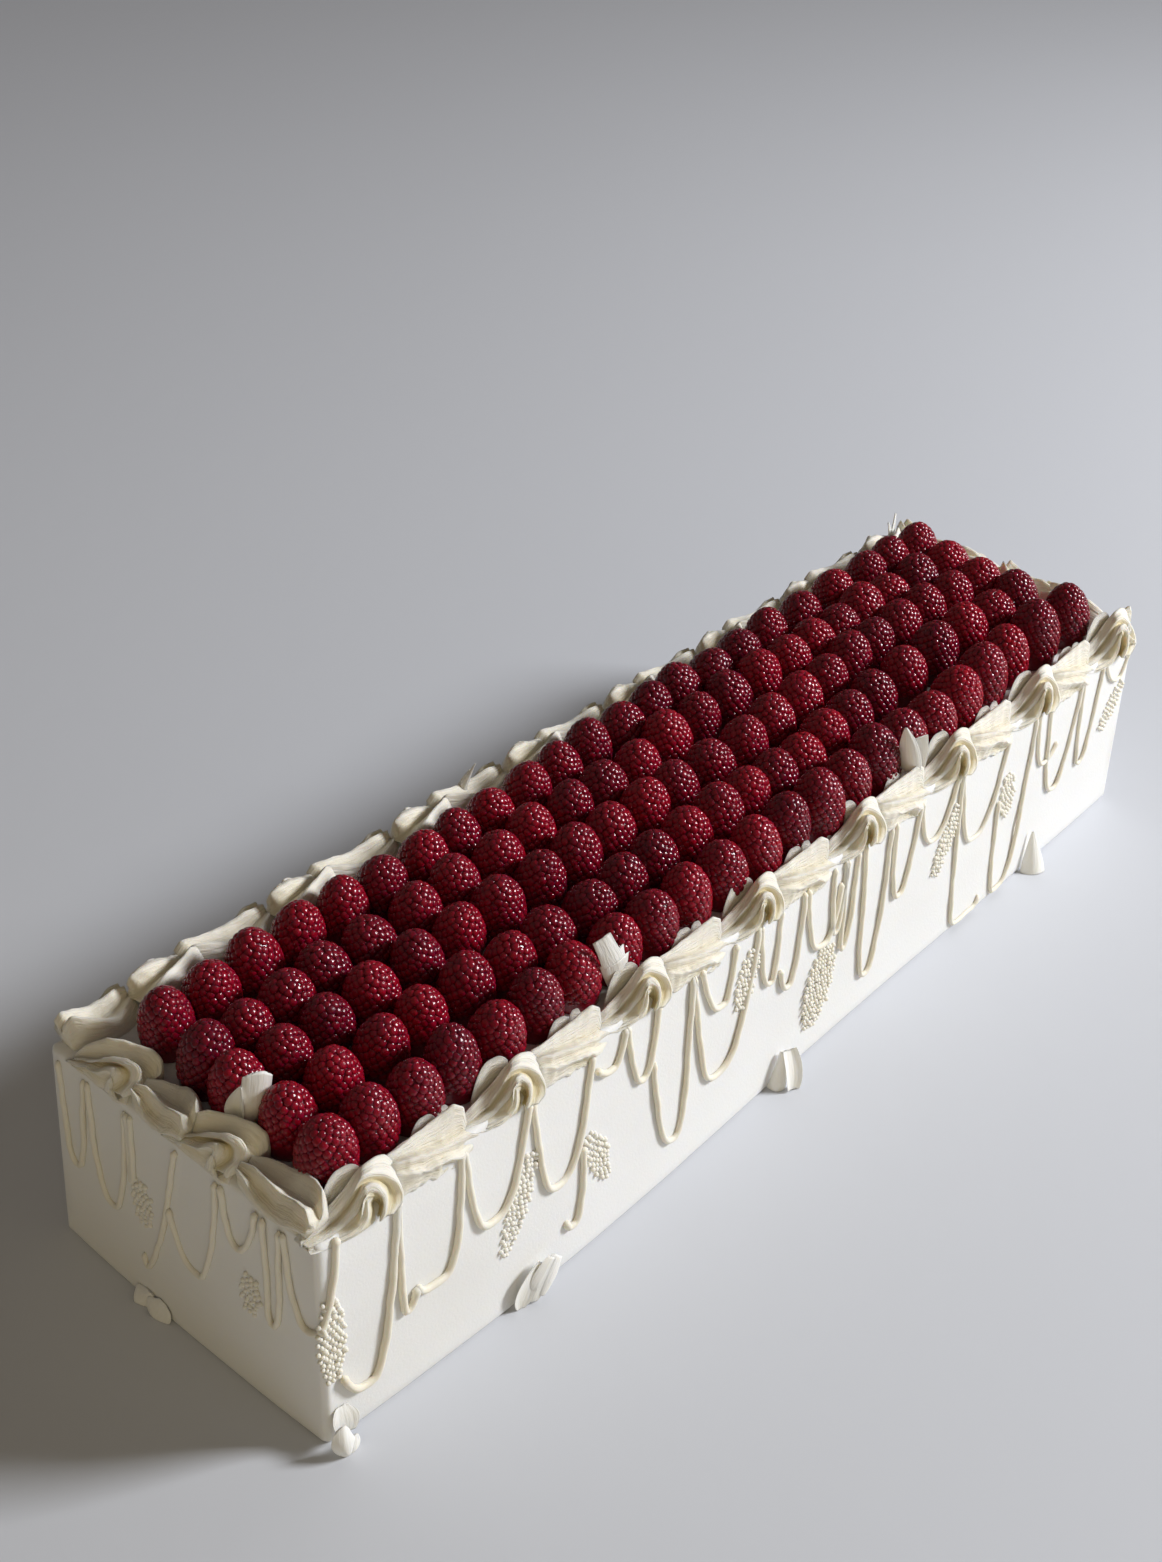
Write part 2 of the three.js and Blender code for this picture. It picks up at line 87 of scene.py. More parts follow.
def skin(name, tubes, material, replaced=(), span=(1.0, 1.0)):
    """Closed tubes as one mesh. Each array in tubes is [piece, ring, corner, xyz or xyz and tone]: a
    ring's corners go round and meet again, the rings follow each other, and each end closes in a fan
    to the middle of its ring. A piece whose volume comes out below 0 is inside out, and has its
    corners taken the other way round. The UV map holds the way round times span[0] and the way along
    times span[1], and the attribute tone holds the fourth number of each point."""
    points, starts, corners_of, ways = [], [], [], []
    first_point = first_loop = 0
    for tube in tubes:
        if tube.shape[-1] == 3:
            tube = np.concatenate([tube, 0 * tube[..., :1]], axis=-1)
        count, rings, corners, _ = tube.shape
        quads, fans, face_ways = tube_faces(rings, corners)
        flat = np.concatenate([tube.reshape(count, -1, 4), tube[:, [0, -1]].mean(axis=2)], axis=1)
        halves = np.concatenate([quads[:, :3], quads[:, [0, 2, 3]], fans])
        a, b, c = (flat[:, halves[:, k], :3] for k in range(3))
        inside_out = np.einsum("nij,nij->n", a, np.cross(b, c)) < 0
        body = flat[:, :-2].reshape(tube.shape)
        body[inside_out] = body[inside_out, :, ::-1]
        flat = np.concatenate([body.reshape(count, -1, 4), flat[:, -2:]], axis=1)
        # The same faces for every piece, each with its own points.
        one_piece = np.concatenate([quads.ravel(), fans.ravel()])
        lengths = np.concatenate([np.full(len(quads), 4), np.full(len(fans), 3)])
        steps = np.concatenate([[0], np.cumsum(lengths)[:-1]])
        offsets = np.arange(count)[:, None]
        corners_of.append((one_piece + offsets * flat.shape[1] + first_point).ravel())
        starts.append((steps + offsets * len(one_piece) + first_loop).ravel())
        ways.append(np.tile(face_ways, (count, 1)) * span)
        points.append(flat.reshape(-1, 4))
        first_point += flat.shape[0] * flat.shape[1]
        first_loop += count * len(one_piece)
    mesh = bpy.data.meshes.new(name)
    mesh.vertices.add(first_point)
    points = np.concatenate(points)
    mesh.vertices.foreach_set("co", (points[:, :3] / 1000).ravel())
    mesh.loops.add(first_loop)
    mesh.loops.foreach_set("vertex_index", np.concatenate(corners_of))
    all_starts = np.concatenate(starts)
    mesh.polygons.add(len(all_starts))
    mesh.polygons.foreach_set("loop_start", all_starts)
    mesh.update(calc_edges=True)
    mesh.shade_smooth()
    mesh.uv_layers.new(name="surface").uv.foreach_set("vector", np.concatenate(ways).ravel())
    mesh.attributes.new("tone", "FLOAT", "POINT").data.foreach_set("value", points[:, 3])
    mesh.materials.append(material)
    piece = bpy.data.objects.new(name, mesh)
    bpy.context.scene.collection.objects.link(piece)
    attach(piece, "root")
    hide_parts(*replaced)


class Value:
    """A socket of a shader's tree that can be reckoned with: an operator adds the Math node of its
    name, and node() adds any other node to the same tree."""

    def __init__(self, socket):
        self.socket = socket

    def node(self, kind, settings=None, inputs=None, output=0):
        """Adds a node: its settings are made first, then the values or links of its sockets."""
        tree = self.socket.id_data
        made = tree.nodes.new(kind)
        for name, setting in (settings or {}).items():
            if name == "stops":
                ramp = made.color_ramp.elements
                while len(ramp) < len(setting):
                    ramp.new(0.5)
                for element, (position, color) in zip(ramp, setting):
                    element.position, element.color = position, (*color, 1.0)
            else:
                setattr(made, name, setting)
        for key, value in (inputs or {}).items():
            if isinstance(value, Value):
                tree.links.new(value.socket, made.inputs[key])
            else:
                made.inputs[key].default_value = value
        return Value(made.outputs[output])

    def math(self, operation, a, b):
        return self.node("ShaderNodeMath", {"operation": operation}, {0: a, 1: b})

    def __add__(self, other):
        return self.math("ADD", self, other)

    def __mul__(self, other):
        return self.math("MULTIPLY", self, other)

    __radd__, __rmul__ = __add__, __mul__

    def clear(self, low, high):
        """0 below low, 1 above high and even between them."""
        return self.node("ShaderNodeMapRange", {}, {"Value": self, "From Min": low, "From Max": high})

    def mix(self, without, full):
        """The colour without where this is 0, full where it is 1."""
        colours = {6: without, 7: full}
        for key, colour in colours.items():
            if not isinstance(colour, Value):
                colours[key] = (*colour, 1.0)
        return self.node("ShaderNodeMix", {"data_type": "RGBA"}, {0: self, **colours}, 2)

    def noise(self, scale, detail=3.0, stretch=(1.0, 1.0, 1.0)):
        """Cloudy noise at this place, from 0 to 1, with its own scale on each axis."""
        spread = self.node("ShaderNodeVectorMath", {"operation": "MULTIPLY"}, {0: self, 1: stretch})
        return self.node("ShaderNodeTexNoise", {}, {"Vector": spread, "Scale": scale, "Detail": detail})


def finish(name, fixed, varied):
    """A material: fixed values go straight on the shader's sockets, and varied(place, surface) gives
    the linked ones from the place in the object and the UV map, with bump as (height, distance)."""
    material = bpy.data.materials.new(name)
    material.use_nodes = True
    tree = material.node_tree
    shader = tree.nodes["Principled BSDF"]
    for key, value in fixed.items():
        shader.inputs[key].default_value = value
    start = Value(tree.nodes.new("ShaderNodeTexCoord").outputs["Object"])
    surface = start.node("ShaderNodeUVMap", {"uv_map": "surface"})
    links = varied(start, surface)
    height, distance = links.pop("bump")
    links["Normal"] = start.node("ShaderNodeBump", {}, {"Height": height, "Distance": distance})
    for key, value in links.items():
        tree.links.new(value.socket, shader.inputs[key])
    return material


def frosting_looks(place, surface):
    """Off-white cream: soft cloudy yellowing, long faint scraper marks and a fine pitted grain."""
    clouds = place.noise(9.0, 4.0)
    marks = place.noise(70.0, 2.0, (0.12, 0.12, 1.0))
    grain = place.noise(900.0, 2.0)
    cream = (clouds * 0.7 + marks * 0.3).clear(0.3, 0.7)
    return {
        "Base Color": cream.mix((0.83, 0.83, 0.828), (0.805, 0.80, 0.775)),
        "Roughness": marks * 0.2 + 0.42,
        "bump": (marks * 0.6 + grain * 0.15 + clouds * 0.8, 0.0006),
    }


frosting = finish("white_frosting", {
    "Subsurface Weight": 0.25, "Subsurface Radius": (1.0, 0.8, 0.55), "Subsurface Scale": 0.004,
    "Specular IOR Level": 0.35,
}, frosting_looks)


# How far the sides stand out at the foot: everywhere, then by one, two and three half waves along.
LONG_BULGE = (3.3, 4.2, 2.2, 1.2)
END_BULGE = (2.0, 1.5)


def lean_out(points):
    """Moves points to where the sides lean out towards the foot, where the cake has sagged: y grows by
    the share bulge(x) (1 - z / height) / half width, where bulge(x) is a sum of half waves over the
    length, and x in the same way by a smaller half wave over the width."""
    x, y, z, *others = np.moveaxis(points, -1, 0)
    along, across = np.pi * (x / LENGTH + 0.5), np.pi * (y / WIDTH + 0.5)
    even, one, two, three = LONG_BULGE
    long_bulge = even + one * np.sin(along) + two * np.sin(2 * along) + three * np.sin(3 * along)
    end_bulge = END_BULGE[0] + END_BULGE[1] * np.sin(across)
    sag = np.clip(1 - z / HEIGHT, 0, 1)
    wider_x, wider_y = 1 + 2 * end_bulge * sag / LENGTH, 1 + 2 * long_bulge * sag / WIDTH
    return np.stack([x * wider_x, y * wider_y, z, *others], -1)


# How deep the scraper's dents are, and how far a side bows in its middle.
DENT, BOW = 0.45, 0.5


def block_rings():
    """The block as rings of a rounded rectangle. A ring's inset and height run from the middle of
    the base, round the foot edge, up the side and over the top edge to the middle of the top.
    Each side is dented by slow waves along it times slow waves up it, and bows in its middle."""
    profile = [(64, 0), (30, 0), (8, 0), (2, 0), (0.4, 0.4), (0, 1.5)]
    profile += [(0, z) for z in np.linspace(5, HEIGHT - 3.0, 28)]
    profile += [(0.2, HEIGHT - 1.4), (0.9, HEIGHT - 0.5), (2.2, HEIGHT), (6, HEIGHT + 0.1)]
    profile += [(14, HEIGHT), (30, HEIGHT), (64, HEIGHT)]
    inset, height = np.array(profile).T[:, :, None]
    long_way = np.linspace(-1, 1, 110)
    short_way = np.linspace(-1, 1, 30)
    turn = np.linspace(0, np.pi / 2, 7)[1:-1]
    radius = np.maximum(CORNER - inset, 0.5)
    half = np.array([LENGTH / 2, WIDTH / 2])
    x, y = [], []
    for quarter, way in enumerate([long_way, short_way, -long_way, -short_way]):
        axis = quarter % 2
        out = half[1 - axis] - inset + 0 * way
        run = way * (half[axis] - inset - radius)
        dent = DENT * wander(way * half[axis] / 38, 3 + quarter) * wander(height / 29, 8 + quarter)
        bow = BOW * (1 - way ** 2) * wander(height / 60 + quarter, 12)
        out = out + np.where(inset < 3, dent + bow, 0)
        side_x, side_y = [(run, -out), (out, run), (run, out), (-out, run)][quarter]
        x.append(side_x)
        y.append(side_y)
        sign_x, sign_y = [(1, -1), (1, 1), (-1, 1), (-1, -1)][quarter]
        angle = -np.pi / 2 + quarter * np.pi / 2 + turn
        x.append(sign_x * (half[0] - inset - radius) + radius * np.cos(angle))
        y.append(sign_y * (half[1] - inset - radius) + radius * np.sin(angle))
    x, y = np.concatenate(x, axis=1), np.concatenate(y, axis=1)
    return lean_out(np.stack([x, y, height + 0 * x], -1))[None]


skin("frosted_block", [block_rings()], frosting, ["cake"])


# The drop strings: a thin round cord of cream let down from the border in loops and pressed on at its
# ends. Each is [start, lowest place, height there, end, height of its start, of its end, how steep
# its legs are]. Places run along a side from its left corner as seen from outside, and TOP is the
# height where a string comes out from under the border.
TOP = 91.0
LONG_SIDE_STRINGS = [
    [-2, -1, 59, 8, 59, 95, 2.2], [7, 20, 18, 35, 30, TOP, 2.6], [35, 37, 38, 42, TOP, 46, 4],
    [42, 54, 41, 66, 46, TOP, 4], [67, 80, 50, 100, TOP, TOP, 3.1], [102, 114, 43, 134, TOP, TOP, 3.2],
    [117, 120, 18, 128, 22, 51, 4], [136, 146, 77, 153, 82, TOP, 2.2],
    [154, 163, 61, 172, TOP, TOP, 2.6], [169, 181, 19, 193, 65, TOP, 3],
    [194, 210, 33, 235, TOP, TOP, 3], [199, 213, 66, 220, TOP, TOP, 2.6],
    [236, 245, 58, 250, TOP, TOP, 2.6], [251, 257, 48, 266, 60, TOP, 3],
    [268, 282, 56, 293, TOP, 81, 3], [287, 289, 57, 296, TOP, TOP, 4], [295, 296, 45, 304, TOP, TOP, 4],
    [310, 316, 19, 329, TOP, TOP, 4], [332, 339, 49, 351, TOP, TOP, 3],
    [352, 365, 65, 382, TOP, TOP, 2.4], [385, 403, 3, 413, TOP, 8, 9],
    [386, 402, 47, 425, TOP, TOP, 2.8], [421, 428, 3, 448, 57, TOP, 5],
    [451, 462, 59, 472, TOP, 66, 2.8], [461, 475, 38, 490, TOP, TOP, 2.8],
    [492, 499, 41, 510, TOP, TOP, 3], [513, 529, 76, 537, TOP, TOP, 2.2],
]
SHORT_SIDE_STRINGS = [
    [6, 13, 44, 20, TOP, TOP, 3], [22, 34, 38, 43, TOP, TOP, 3], [44, 45, 59, 46, TOP, TOP, 6],
    [49, 51, 20, 70, 26, TOP, 1.8], [65, 80, 38, 91, 60, TOP, 2.6], [93, 101, 67, 111, TOP, TOP, 2.2],
    [114, 117, 43, 122, TOP, TOP, 4], [124, 134, 53, 142, TOP, 60, 2.2],
]
SIDES = {
    "front": (0, LONG_SIDE_STRINGS), "right": (1, SHORT_SIDE_STRINGS),
    "back": (2, LONG_SIDE_STRINGS), "left": (3, SHORT_SIDE_STRINGS),
}
CORD_RADIUS = 1.4
CORD_RINGS, CORD_CORNERS = 52, 12
CORD_TONE = 0.14


def on_side(points, quarter):
    """Moves points from a side's own frame (x along it, y inward, z up) to the cake's: a turn by
    quarter turns, and the side's left corner as the start."""
    x, y, *others = np.moveaxis(points, -1, 0)
    cos, sin = [(1, 0), (0, 1), (-1, 0), (0, -1)][quarter]
    start_x = -LENGTH / 2 if quarter in (0, 3) else LENGTH / 2
    start_y = -WIDTH / 2 if quarter < 2 else WIDTH / 2
    return np.stack([start_x + cos * x - sin * y, start_y + sin * x + cos * y, *others], -1)


def evenly(points, count):
    """The same line as count points at even distances along it."""
    steps = np.linalg.norm(np.diff(points, axis=0), axis=1)
    reach = np.concatenate([[0], np.cumsum(steps)])
    wanted = np.linspace(0, reach[-1], count)
    return np.stack([np.interp(wanted, reach, column) for column in points.T], -1), wanted


def cord(line, thick, seed):
    """One string: a loop x = lowest + u reach, z = low + rise |u|^power with u from -1 to 1, where the
    power is 1.25 steep on the first leg and 0.8 steep on the second, and a round section carried
    along it. It wavers a little, swells where it begins and ends, and closes in blunt tips."""
    start, lowest, low, end, start_height, end_height, steep = line
    u = -np.cos(np.linspace(0, np.pi, 400))
    x = lowest + u * np.where(u < 0, lowest - start, end - lowest)
    power = steep * np.where(u < 0, 1.25, 0.8)
    z = low + (np.where(u < 0, start_height, end_height) - low) * np.abs(u) ** power
    path, along = evenly(np.stack([x, z], -1), CORD_RINGS)
    heading = np.gradient(path, axis=0)
    heading /= np.linalg.norm(heading, axis=1, keepdims=True)
    side = np.stack([-heading[:, 1], heading[:, 0]], -1)
    path = path + side * (0.35 * wander(along / 9, seed))[:, None]
    to_end = np.minimum(along, along[-1] - along)
    swell = 1 + 0.06 * wander(along / 4, seed + 50) + 0.3 * np.exp(-(to_end / 2.2) ** 2)
    tip = np.sqrt(np.clip(to_end / 1.2, 0.12, 1))
    radius = (thick * CORD_RADIUS * swell * tip)[:, None]
    turn = np.linspace(0, 2 * np.pi, CORD_CORNERS, endpoint=False)
    pressed_on = 0.55 * thick * CORD_RADIUS
    out = radius * 0.95 * np.sin(turn) + pressed_on + 0.2 * wander(along / 7, seed + 90)[:, None]
    spread = path[:, None] + side[:, None] * (radius * np.cos(turn))[..., None]
    return np.stack([spread[..., 0], -out, spread[..., 1], 0 * out + CORD_TONE], -1)


def piped_looks(place, surface):
    """Ivory cream: warmer than the sides, with painted shade, a darker yellow, in the hollows between
    the ridges (the tone); on the strings a small even tone only makes the whole cord yellower. It has
    fine streaks along the way it left the tip."""
    hollow = place.node("ShaderNodeAttribute", {"attribute_name": "tone"}, output=2)
    clouds = place.noise(16.0, 3.0)
    streaks = surface.noise(1.0, 3.0, (1.6, 0.08, 1.0))
    grain = place.noise(1100.0, 2.0)
    warm = (clouds * 0.6 + streaks * 0.4).clear(0.32, 0.68)
    cream = warm.mix((0.84, 0.81, 0.745), (0.80, 0.755, 0.65))
    return {
        # Painted shade: the tone mixes in a darker yellow where the ribbons' hollows lie.
        "Base Color": (hollow * (clouds * 0.6 + 0.7)).clear(0.0, 1.0).mix(cream, (0.66, 0.56, 0.30)),
        "Roughness": streaks * 0.15 + 0.42,
        "bump": (streaks + grain * 0.1, 0.0008),
    }


border_cream = finish("piped_cream", {
    "Subsurface Weight": 0.3, "Subsurface Radius": (1.0, 0.75, 0.45), "Subsurface Scale": 0.003,
    "Specular IOR Level": 0.35,
}, piped_looks)


# The strings on the ends are thin, and those on a long side get thinner towards its right end.
for side_name, (quarter, strings) in SIDES.items():
    loops = []
    for index, line in enumerate(strings):
        thick = 0.85 if quarter % 2 else 1.02 - 0.35 * line[1] / LENGTH
        loops.append(cord(line, thick, 7 * index + quarter))
    placed = lean_out(on_side(np.stack(loops), quarter))
    skin(f"drop_strings_{side_name}", [placed], border_cream)


# The dot clusters: patches of tiny pearls of cream, each dropped from a fine round tip and left with a
# soft point. A patch is leaf-shaped: [x and z of its top, x and z of its foot, its widest place].
LONG_SIDE_DOTS = [
    [4, 70, 4, 30, 12], [101.5, 67, 84.5, 28, 11], [131, 55, 142, 28, 11], [233, 82, 224, 56, 13],
    [286, 52, 276, 14, 20], [385, 74, 369, 42, 11], [428, 69, 431, 44, 12], [535, 72, 518, 50, 11],
]
SHORT_SIDE_DOTS = [[50, 62, 50, 40, 11], [107, 58, 105, 39, 10]]
DOT_PITCH, DOT_RADIUS, DOT_NUDGE = 2.35, 1.02, 0.35


def pearls(patch, seed):
    """The dots of one patch: close rows down the leaf, each row as wide as a half sine of the way
    down, every other row shifted by half a step, and all of them nudged a little. A dot is four
    rings that go out from the side."""
    top_x, top_z, foot_x, foot_z, widest = patch
    reach = np.hypot(foot_x - top_x, foot_z - top_z)
    rows = int(reach / (DOT_PITCH * 0.87))
    down, across = [], []
    for row in range(rows):
        share = (row + 0.5) / rows
        room = widest * np.sin(np.pi * (0.12 + 0.78 * share)) ** 0.8
        places = np.arange(-room / 2 + (row % 2) * DOT_PITCH / 2, room / 2, DOT_PITCH)
        down.append(np.full(len(places), share))
        across.append(places)
    down, across = np.concatenate(down), np.concatenate(across)
    item = np.arange(len(down)) + 200 * seed
    lean = np.array([foot_x - top_x, foot_z - top_z]) / reach
    x = top_x + (foot_x - top_x) * down - lean[1] * across + DOT_NUDGE * sway(item, 41)
    z = top_z + (foot_z - top_z) * down + lean[0] * across + DOT_NUDGE * sway(item, 42)
    size = DOT_RADIUS * (1 + 0.18 * sway(item, 43))
    out = np.array([-0.3, 0.25, 0.75, 1.15])
    wide = np.array([0.8, 1.0, 0.8, 0.3])
    turn = np.linspace(0, 2 * np.pi, 8, endpoint=False)
    x, z, size = (column[:, None, None] for column in (x, z, size))
    ring_x = x + size * wide[:, None] * np.cos(turn)
    ring_z = z + size * wide[:, None] * np.sin(turn)
    ring_y = -size * out[:, None] + 0 * ring_x
    return np.stack([ring_x, ring_y, ring_z], -1)


for side_name, (quarter, _) in SIDES.items():
    patches = SHORT_SIDE_DOTS if quarter % 2 else LONG_SIDE_DOTS
    clusters = [pearls(patch, 10 * quarter + index) for index, patch in enumerate(patches)]
    placed = [lean_out(on_side(cluster, quarter)) for cluster in clusters]
    skin(f"dot_clusters_{side_name}", placed, border_cream)


# The border: ropes of cream from an open star tip, piped along the top edge. Each motif is a scroll
# that climbs from a thin tail, turns over and curls down on the face, then a shell pulled straight
# under it towards the next tail, with a tall thin wing where one tooth of the tip ran free.
# A ribbon is spread over lines of (place along the side from the scroll's middle, height over the top
# edge, outward of the side), which are all given at the same ways along it from 0 to 1.
# The tail starts SCROLL_BACK before the scroll's middle, and the shell reaches SHELL_REACH past it.
SCROLL_BACK, SHELL_REACH = 27.0, 44.0
SCROLL_WAYS = [0, .15, .28, .4, .48, .55, .62, .7, .78, .86, .93, 1]
SCROLL_LINES = {
    "back edge": [
        (-24, 3, -6), (-18.5, 4.5, -6), (-13, 6, -6), (-7.5, 9, -5.5), (-4, 12.5, -5), (-0.5, 15, -4.5),
        (3.5, 15.5, -4), (8, 13, -4), (10.5, 8.5, -3.5), (11.5, 4, -3), (10, 0, -2), (7, -2, -1),
    ],
    "rim": [
        (-26, 1, -4), (-21, 2.5, -3), (-15, 4, -2.5), (-10, 7.5, -2), (-7, 11, -1.5), (-5, 14.5, -1),
        (-1, 14, -0.5), (4, 10.5, 0.5), (8, 5.5, 1.5), (9, 1, 3), (7.5, -1.5, 4), (3, -2.5, 4.5),
    ],
    "arch": [
        (-25, 0.5, -3), (-18.5, 1, -2), (-13, 3, -0.5), (-9, 7, 0.5), (-6.5, 11, 1), (-5.5, 13.5, 1.5),
        (-3, 13.5, 2), (-0.5, 11, 2.5), (1, 7.5, 3), (1.5, 3.5, 3.5), (0.5, 0, 4), (-1, -2.5, 3.5),
    ],
    "arch inner": [
        (-24, -0.5, -2.5), (-17.5, -0.5, -1), (-12, 1.5, 0), (-8, 5.5, 1.5), (-6, 9, 2), (-5, 11.5, 2.5),
        (-3, 11.5, 2.5), (-1, 9, 3), (0, 6, 3), (0, 2.5, 3.5), (-0.5, -0.5, 3), (-1.5, -2.5, 3),
    ],
    "third": [
        (-24, -1, -2), (-17.5, -2, -0.5), (-12.5, -1.5, 1), (-9.5, 0, 2.5), (-8.5, 4, 3.5), (-9, 9, 4),
        (-8, 12, 3.5), (-3, 8.5, 2), (1, 3, 0.5), (2, 0, 0.5), (1, -1.5, 1), (0, -2.5, 1.5),
    ],
    "fourth": [
        (-24, -1, -1.5), (-17.5, -2.5, 0), (-12.5, -2.5, 1.5), (-8, -1.5, 2.5), (-6, 1, 3), (-6, 5, 3.5),
        (-6, 9, 3), (-2, 6.5, 1.5), (1.5, 1.5, 0), (2, -1, -0.5), (1, -2, 0), (0, -3, 1),
    ],
    "eye": [
        (-24.5, -0.5, -1), (-17.5, -3, 0), (-11.5, -3.5, 1), (-5, -3.5, 1.5), (-2, -2, 1), (-0.5, 0, 0),
        (-0.5, 2, -0.5), (0.5, 1.5, -1), (1.5, 0, -1), (1.5, -1.5, -0.5), (1, -2.5, 0), (0, -3.5, 1),
    ],
    "foot": [
        (-25.5, 0, 0), (-17, -3.5, 0.5), (-10.5, -4.5, 1), (-3.5, -4.5, 1), (-0.5, -3.5, 1),
        (0, -2, -1.5), (0, -1, -3.5), (0.5, -1, -4), (1, -2, -4), (1, -3, -3.5), (0.5, -3.5, -3.5),
        (0, -4, -3),
    ],
    "inside": [
        (-24.5, -2, -4), (-17, -3, -4), (-10.5, -3, -4), (-5, -3, -4.5), (-1, -2, -5), (0.5, -1.5, -5.5),
        (1.5, -1, -6), (2.5, -1, -5.5), (3, -2, -5), (2.5, -3, -4.5), (2, -3.5, -4.5), (2, -3.5, -4),
    ],
    "back foot": [
        (-24, -1, -8.5), (-18, -1, -9), (-12.5, -1, -9.5), (-7.5, -1, -10), (-4, -1, -10),
        (-0.5, -1, -9.5), (2.5, -1, -9), (5.5, -1.5, -8.5), (7.5, -2, -7.5), (7, -2.5, -6), (6, -3, -5),
        (5, -3, -4),
    ],
}
SHELL_WAYS = [0, .12, .25, .4, .55, .7, .83, .92, 1]
SHELL_LINES = {
    "wing edge": [
        (5, 10, -5), (12, 10.5, -5), (18, 10, -5), (23.5, 10.5, -5), (30, 11, -4.5), (36, 12, -4),
        (41, 13.5, -3.5), (44.5, 11, -2.5), (45.5, 4, -2),
    ],
    "groove": [
        (5, 8, -5), (11, 9, -3), (16.5, 8, -2.5), (23, 6.5, -2), (28.5, 5, -2), (33.5, 4, -1.5),
        (39, 3, -1.5), (42, 3, -1.5), (43.5, 2, -1),
    ],
    "mid rib": [
        (6, 8, -4), (11, 10, -1), (15.5, 9.5, 0.5), (21.5, 7.5, 1), (28, 5.5, 1), (35, 3, 1),
        (40.5, 1.5, 1), (45, 0.5, 0.5), (48.5, -1.5, 0.5),
    ],
    "lip": [
        (6, 5, -3), (10.5, 6, 0.5), (15, 5, 2.5), (20.5, 3, 3), (26, 2.5, 3.5), (32, 1, 3.5),
        (37.5, -3, 3), (41.5, -5, 2), (46, -5, 0.5),
    ],
    "under lip": [
        (6, 0, -2), (10.5, 0.5, 0.5), (16, 0, 1.5), (23, -1, 1), (29, -3, 0.5), (35, -5.5, 0.5),
        (39, -7, 0.5), (42, -7, 0.5), (46, -6, 0),
    ],
    "foot": [
        (5, -4, -1), (9, -4, 0.5), (13.5, -4, 1), (19.5, -4.5, 1), (26.5, -6, 0.5), (32.5, -7.5, 0.5),
        (37, -8, 0.5), (42, -8, 0.5), (46, -6.5, 0),
    ],
    "inside": [
        (5, -4, -4), (10, -4, -4), (15, -4, -4), (20.5, -4, -4), (26.5, -4, -4), (32.5, -4, -4),
        (37.5, -4, -4), (41, -4, -4), (44, -4, -4),
    ],
    "back foot": [
        (5, -1, -11), (9.5, -1, -11), (14, -1, -11), (20, -1, -10.5), (25.5, -1, -10.5), (31, -1, -10),
        (36, -1, -10), (39, -1, -10), (42, -1, -10),
    ],
    "back hump": [
        (6, 3, -10), (11, 3, -10), (16, 3.5, -9.5), (21.5, 3.5, -9.5), (27, 3, -9.5), (32, 3, -9.5),
        (35.5, 2.5, -9), (38, 2, -8.5), (40, 2, -8.5),
    ],
    "wing back": [
        (6, 5, -7), (11.5, 5.5, -7), (17.5, 6, -7), (23.5, 6, -6.5), (29.5, 6.5, -6.5), (35, 7, -6),
        (40, 7, -5.5), (42.5, 6, -5), (42.5, 2.5, -4),
    ],
    "wing side": [
        (5, 9, -6), (11, 9.5, -6), (17, 9.5, -6), (23.5, 10, -5.5), (29.5, 10.5, -5.5), (35.5, 11.5, -5),
        (40, 12.5, -4.5), (43.5, 10, -4), (44.5, 3.5, -3),
    ],
}


# On the two ends and the back the motif lies down: its ribbons spread over the top towards the fruit,
# and it reaches only to the edge. Each line has places of its own, with its rings evenly between them.
LYING_BACK, LYING_SHELL_REACH = 27.0, 38.0
LYING_SCROLL_LINES = {
    "flap edge": [
        (-32, 9, -2), (-29, 11, -4), (-25, 12.5, -6), (-14.5, 13.5, -11), (-4.5, 13.5, -14.5),
        (-0.5, 11.5, -15), (1.5, 7, -13.5), (0, 6, -10),
    ],
    "flap valley": [
        (-30, 7, -1.5), (-26, 4.5, -3.5), (-18, 6.5, -6), (-10, 8.5, -8), (-4, 8.5, -9), (0, 7, -9),
        (1.5, 6, -7), (0.5, 5, -4),
    ],
    "band ridge": [
        (-30.5, 9, -0.5), (-26, 6, -2), (-20, 7, -3.5), (-13.5, 10.5, -5), (-8, 13, -6),
        (-3, 13.5, -6.5), (0.5, 12.5, -6), (0.5, 9.5, -4.5), (-1.5, 6, -2), (-3, 2, 0),
    ],
    "band edge": [
        (-29.5, 7.5, 0), (-22.5, 7, -0.5), (-17, 8, -2), (-10, 11.5, -3.5), (-5, 13, -4),
        (-2.5, 11.5, -4), (-2.5, 8, -3), (-3.5, 5.5, -1), (-4.5, 3, 0.5),
    ],
    "fold": [
        (-33, 2, 0.5), (-24.5, 4, 0.5), (-18, 5, -0.5), (-13, 9, -1.5), (-9, 11, -2), (-8, 9.5, -1.5),
        (-9.5, 5.5, -0.5), (-12, 1.5, 1),
    ],
    "fold edge": [
        (-33, -1.5, 1), (-22, 4, 1), (-15.5, 6, 1), (-12, 9, 0), (-9.5, 9.5, -0.5), (-9.5, 7, 0),
        (-11, 4.5, 1), (-12, 0.5, 1.5),
    ],
    "foot": [
        (-34.5, -3, 0.5), (-24, -1, 0.5), (-14.5, -1.5, 0.5), (-8, -2, 1), (-4, -1, 1), (-2.5, 0, 0.5),
    ],
    "inside": [(-33, -4, -4), (-3, -4, -4)],
    "back foot": [(-32, -1, -7), (-20, -1, -13), (-8, -1, -17), (1, -1, -14)],
}
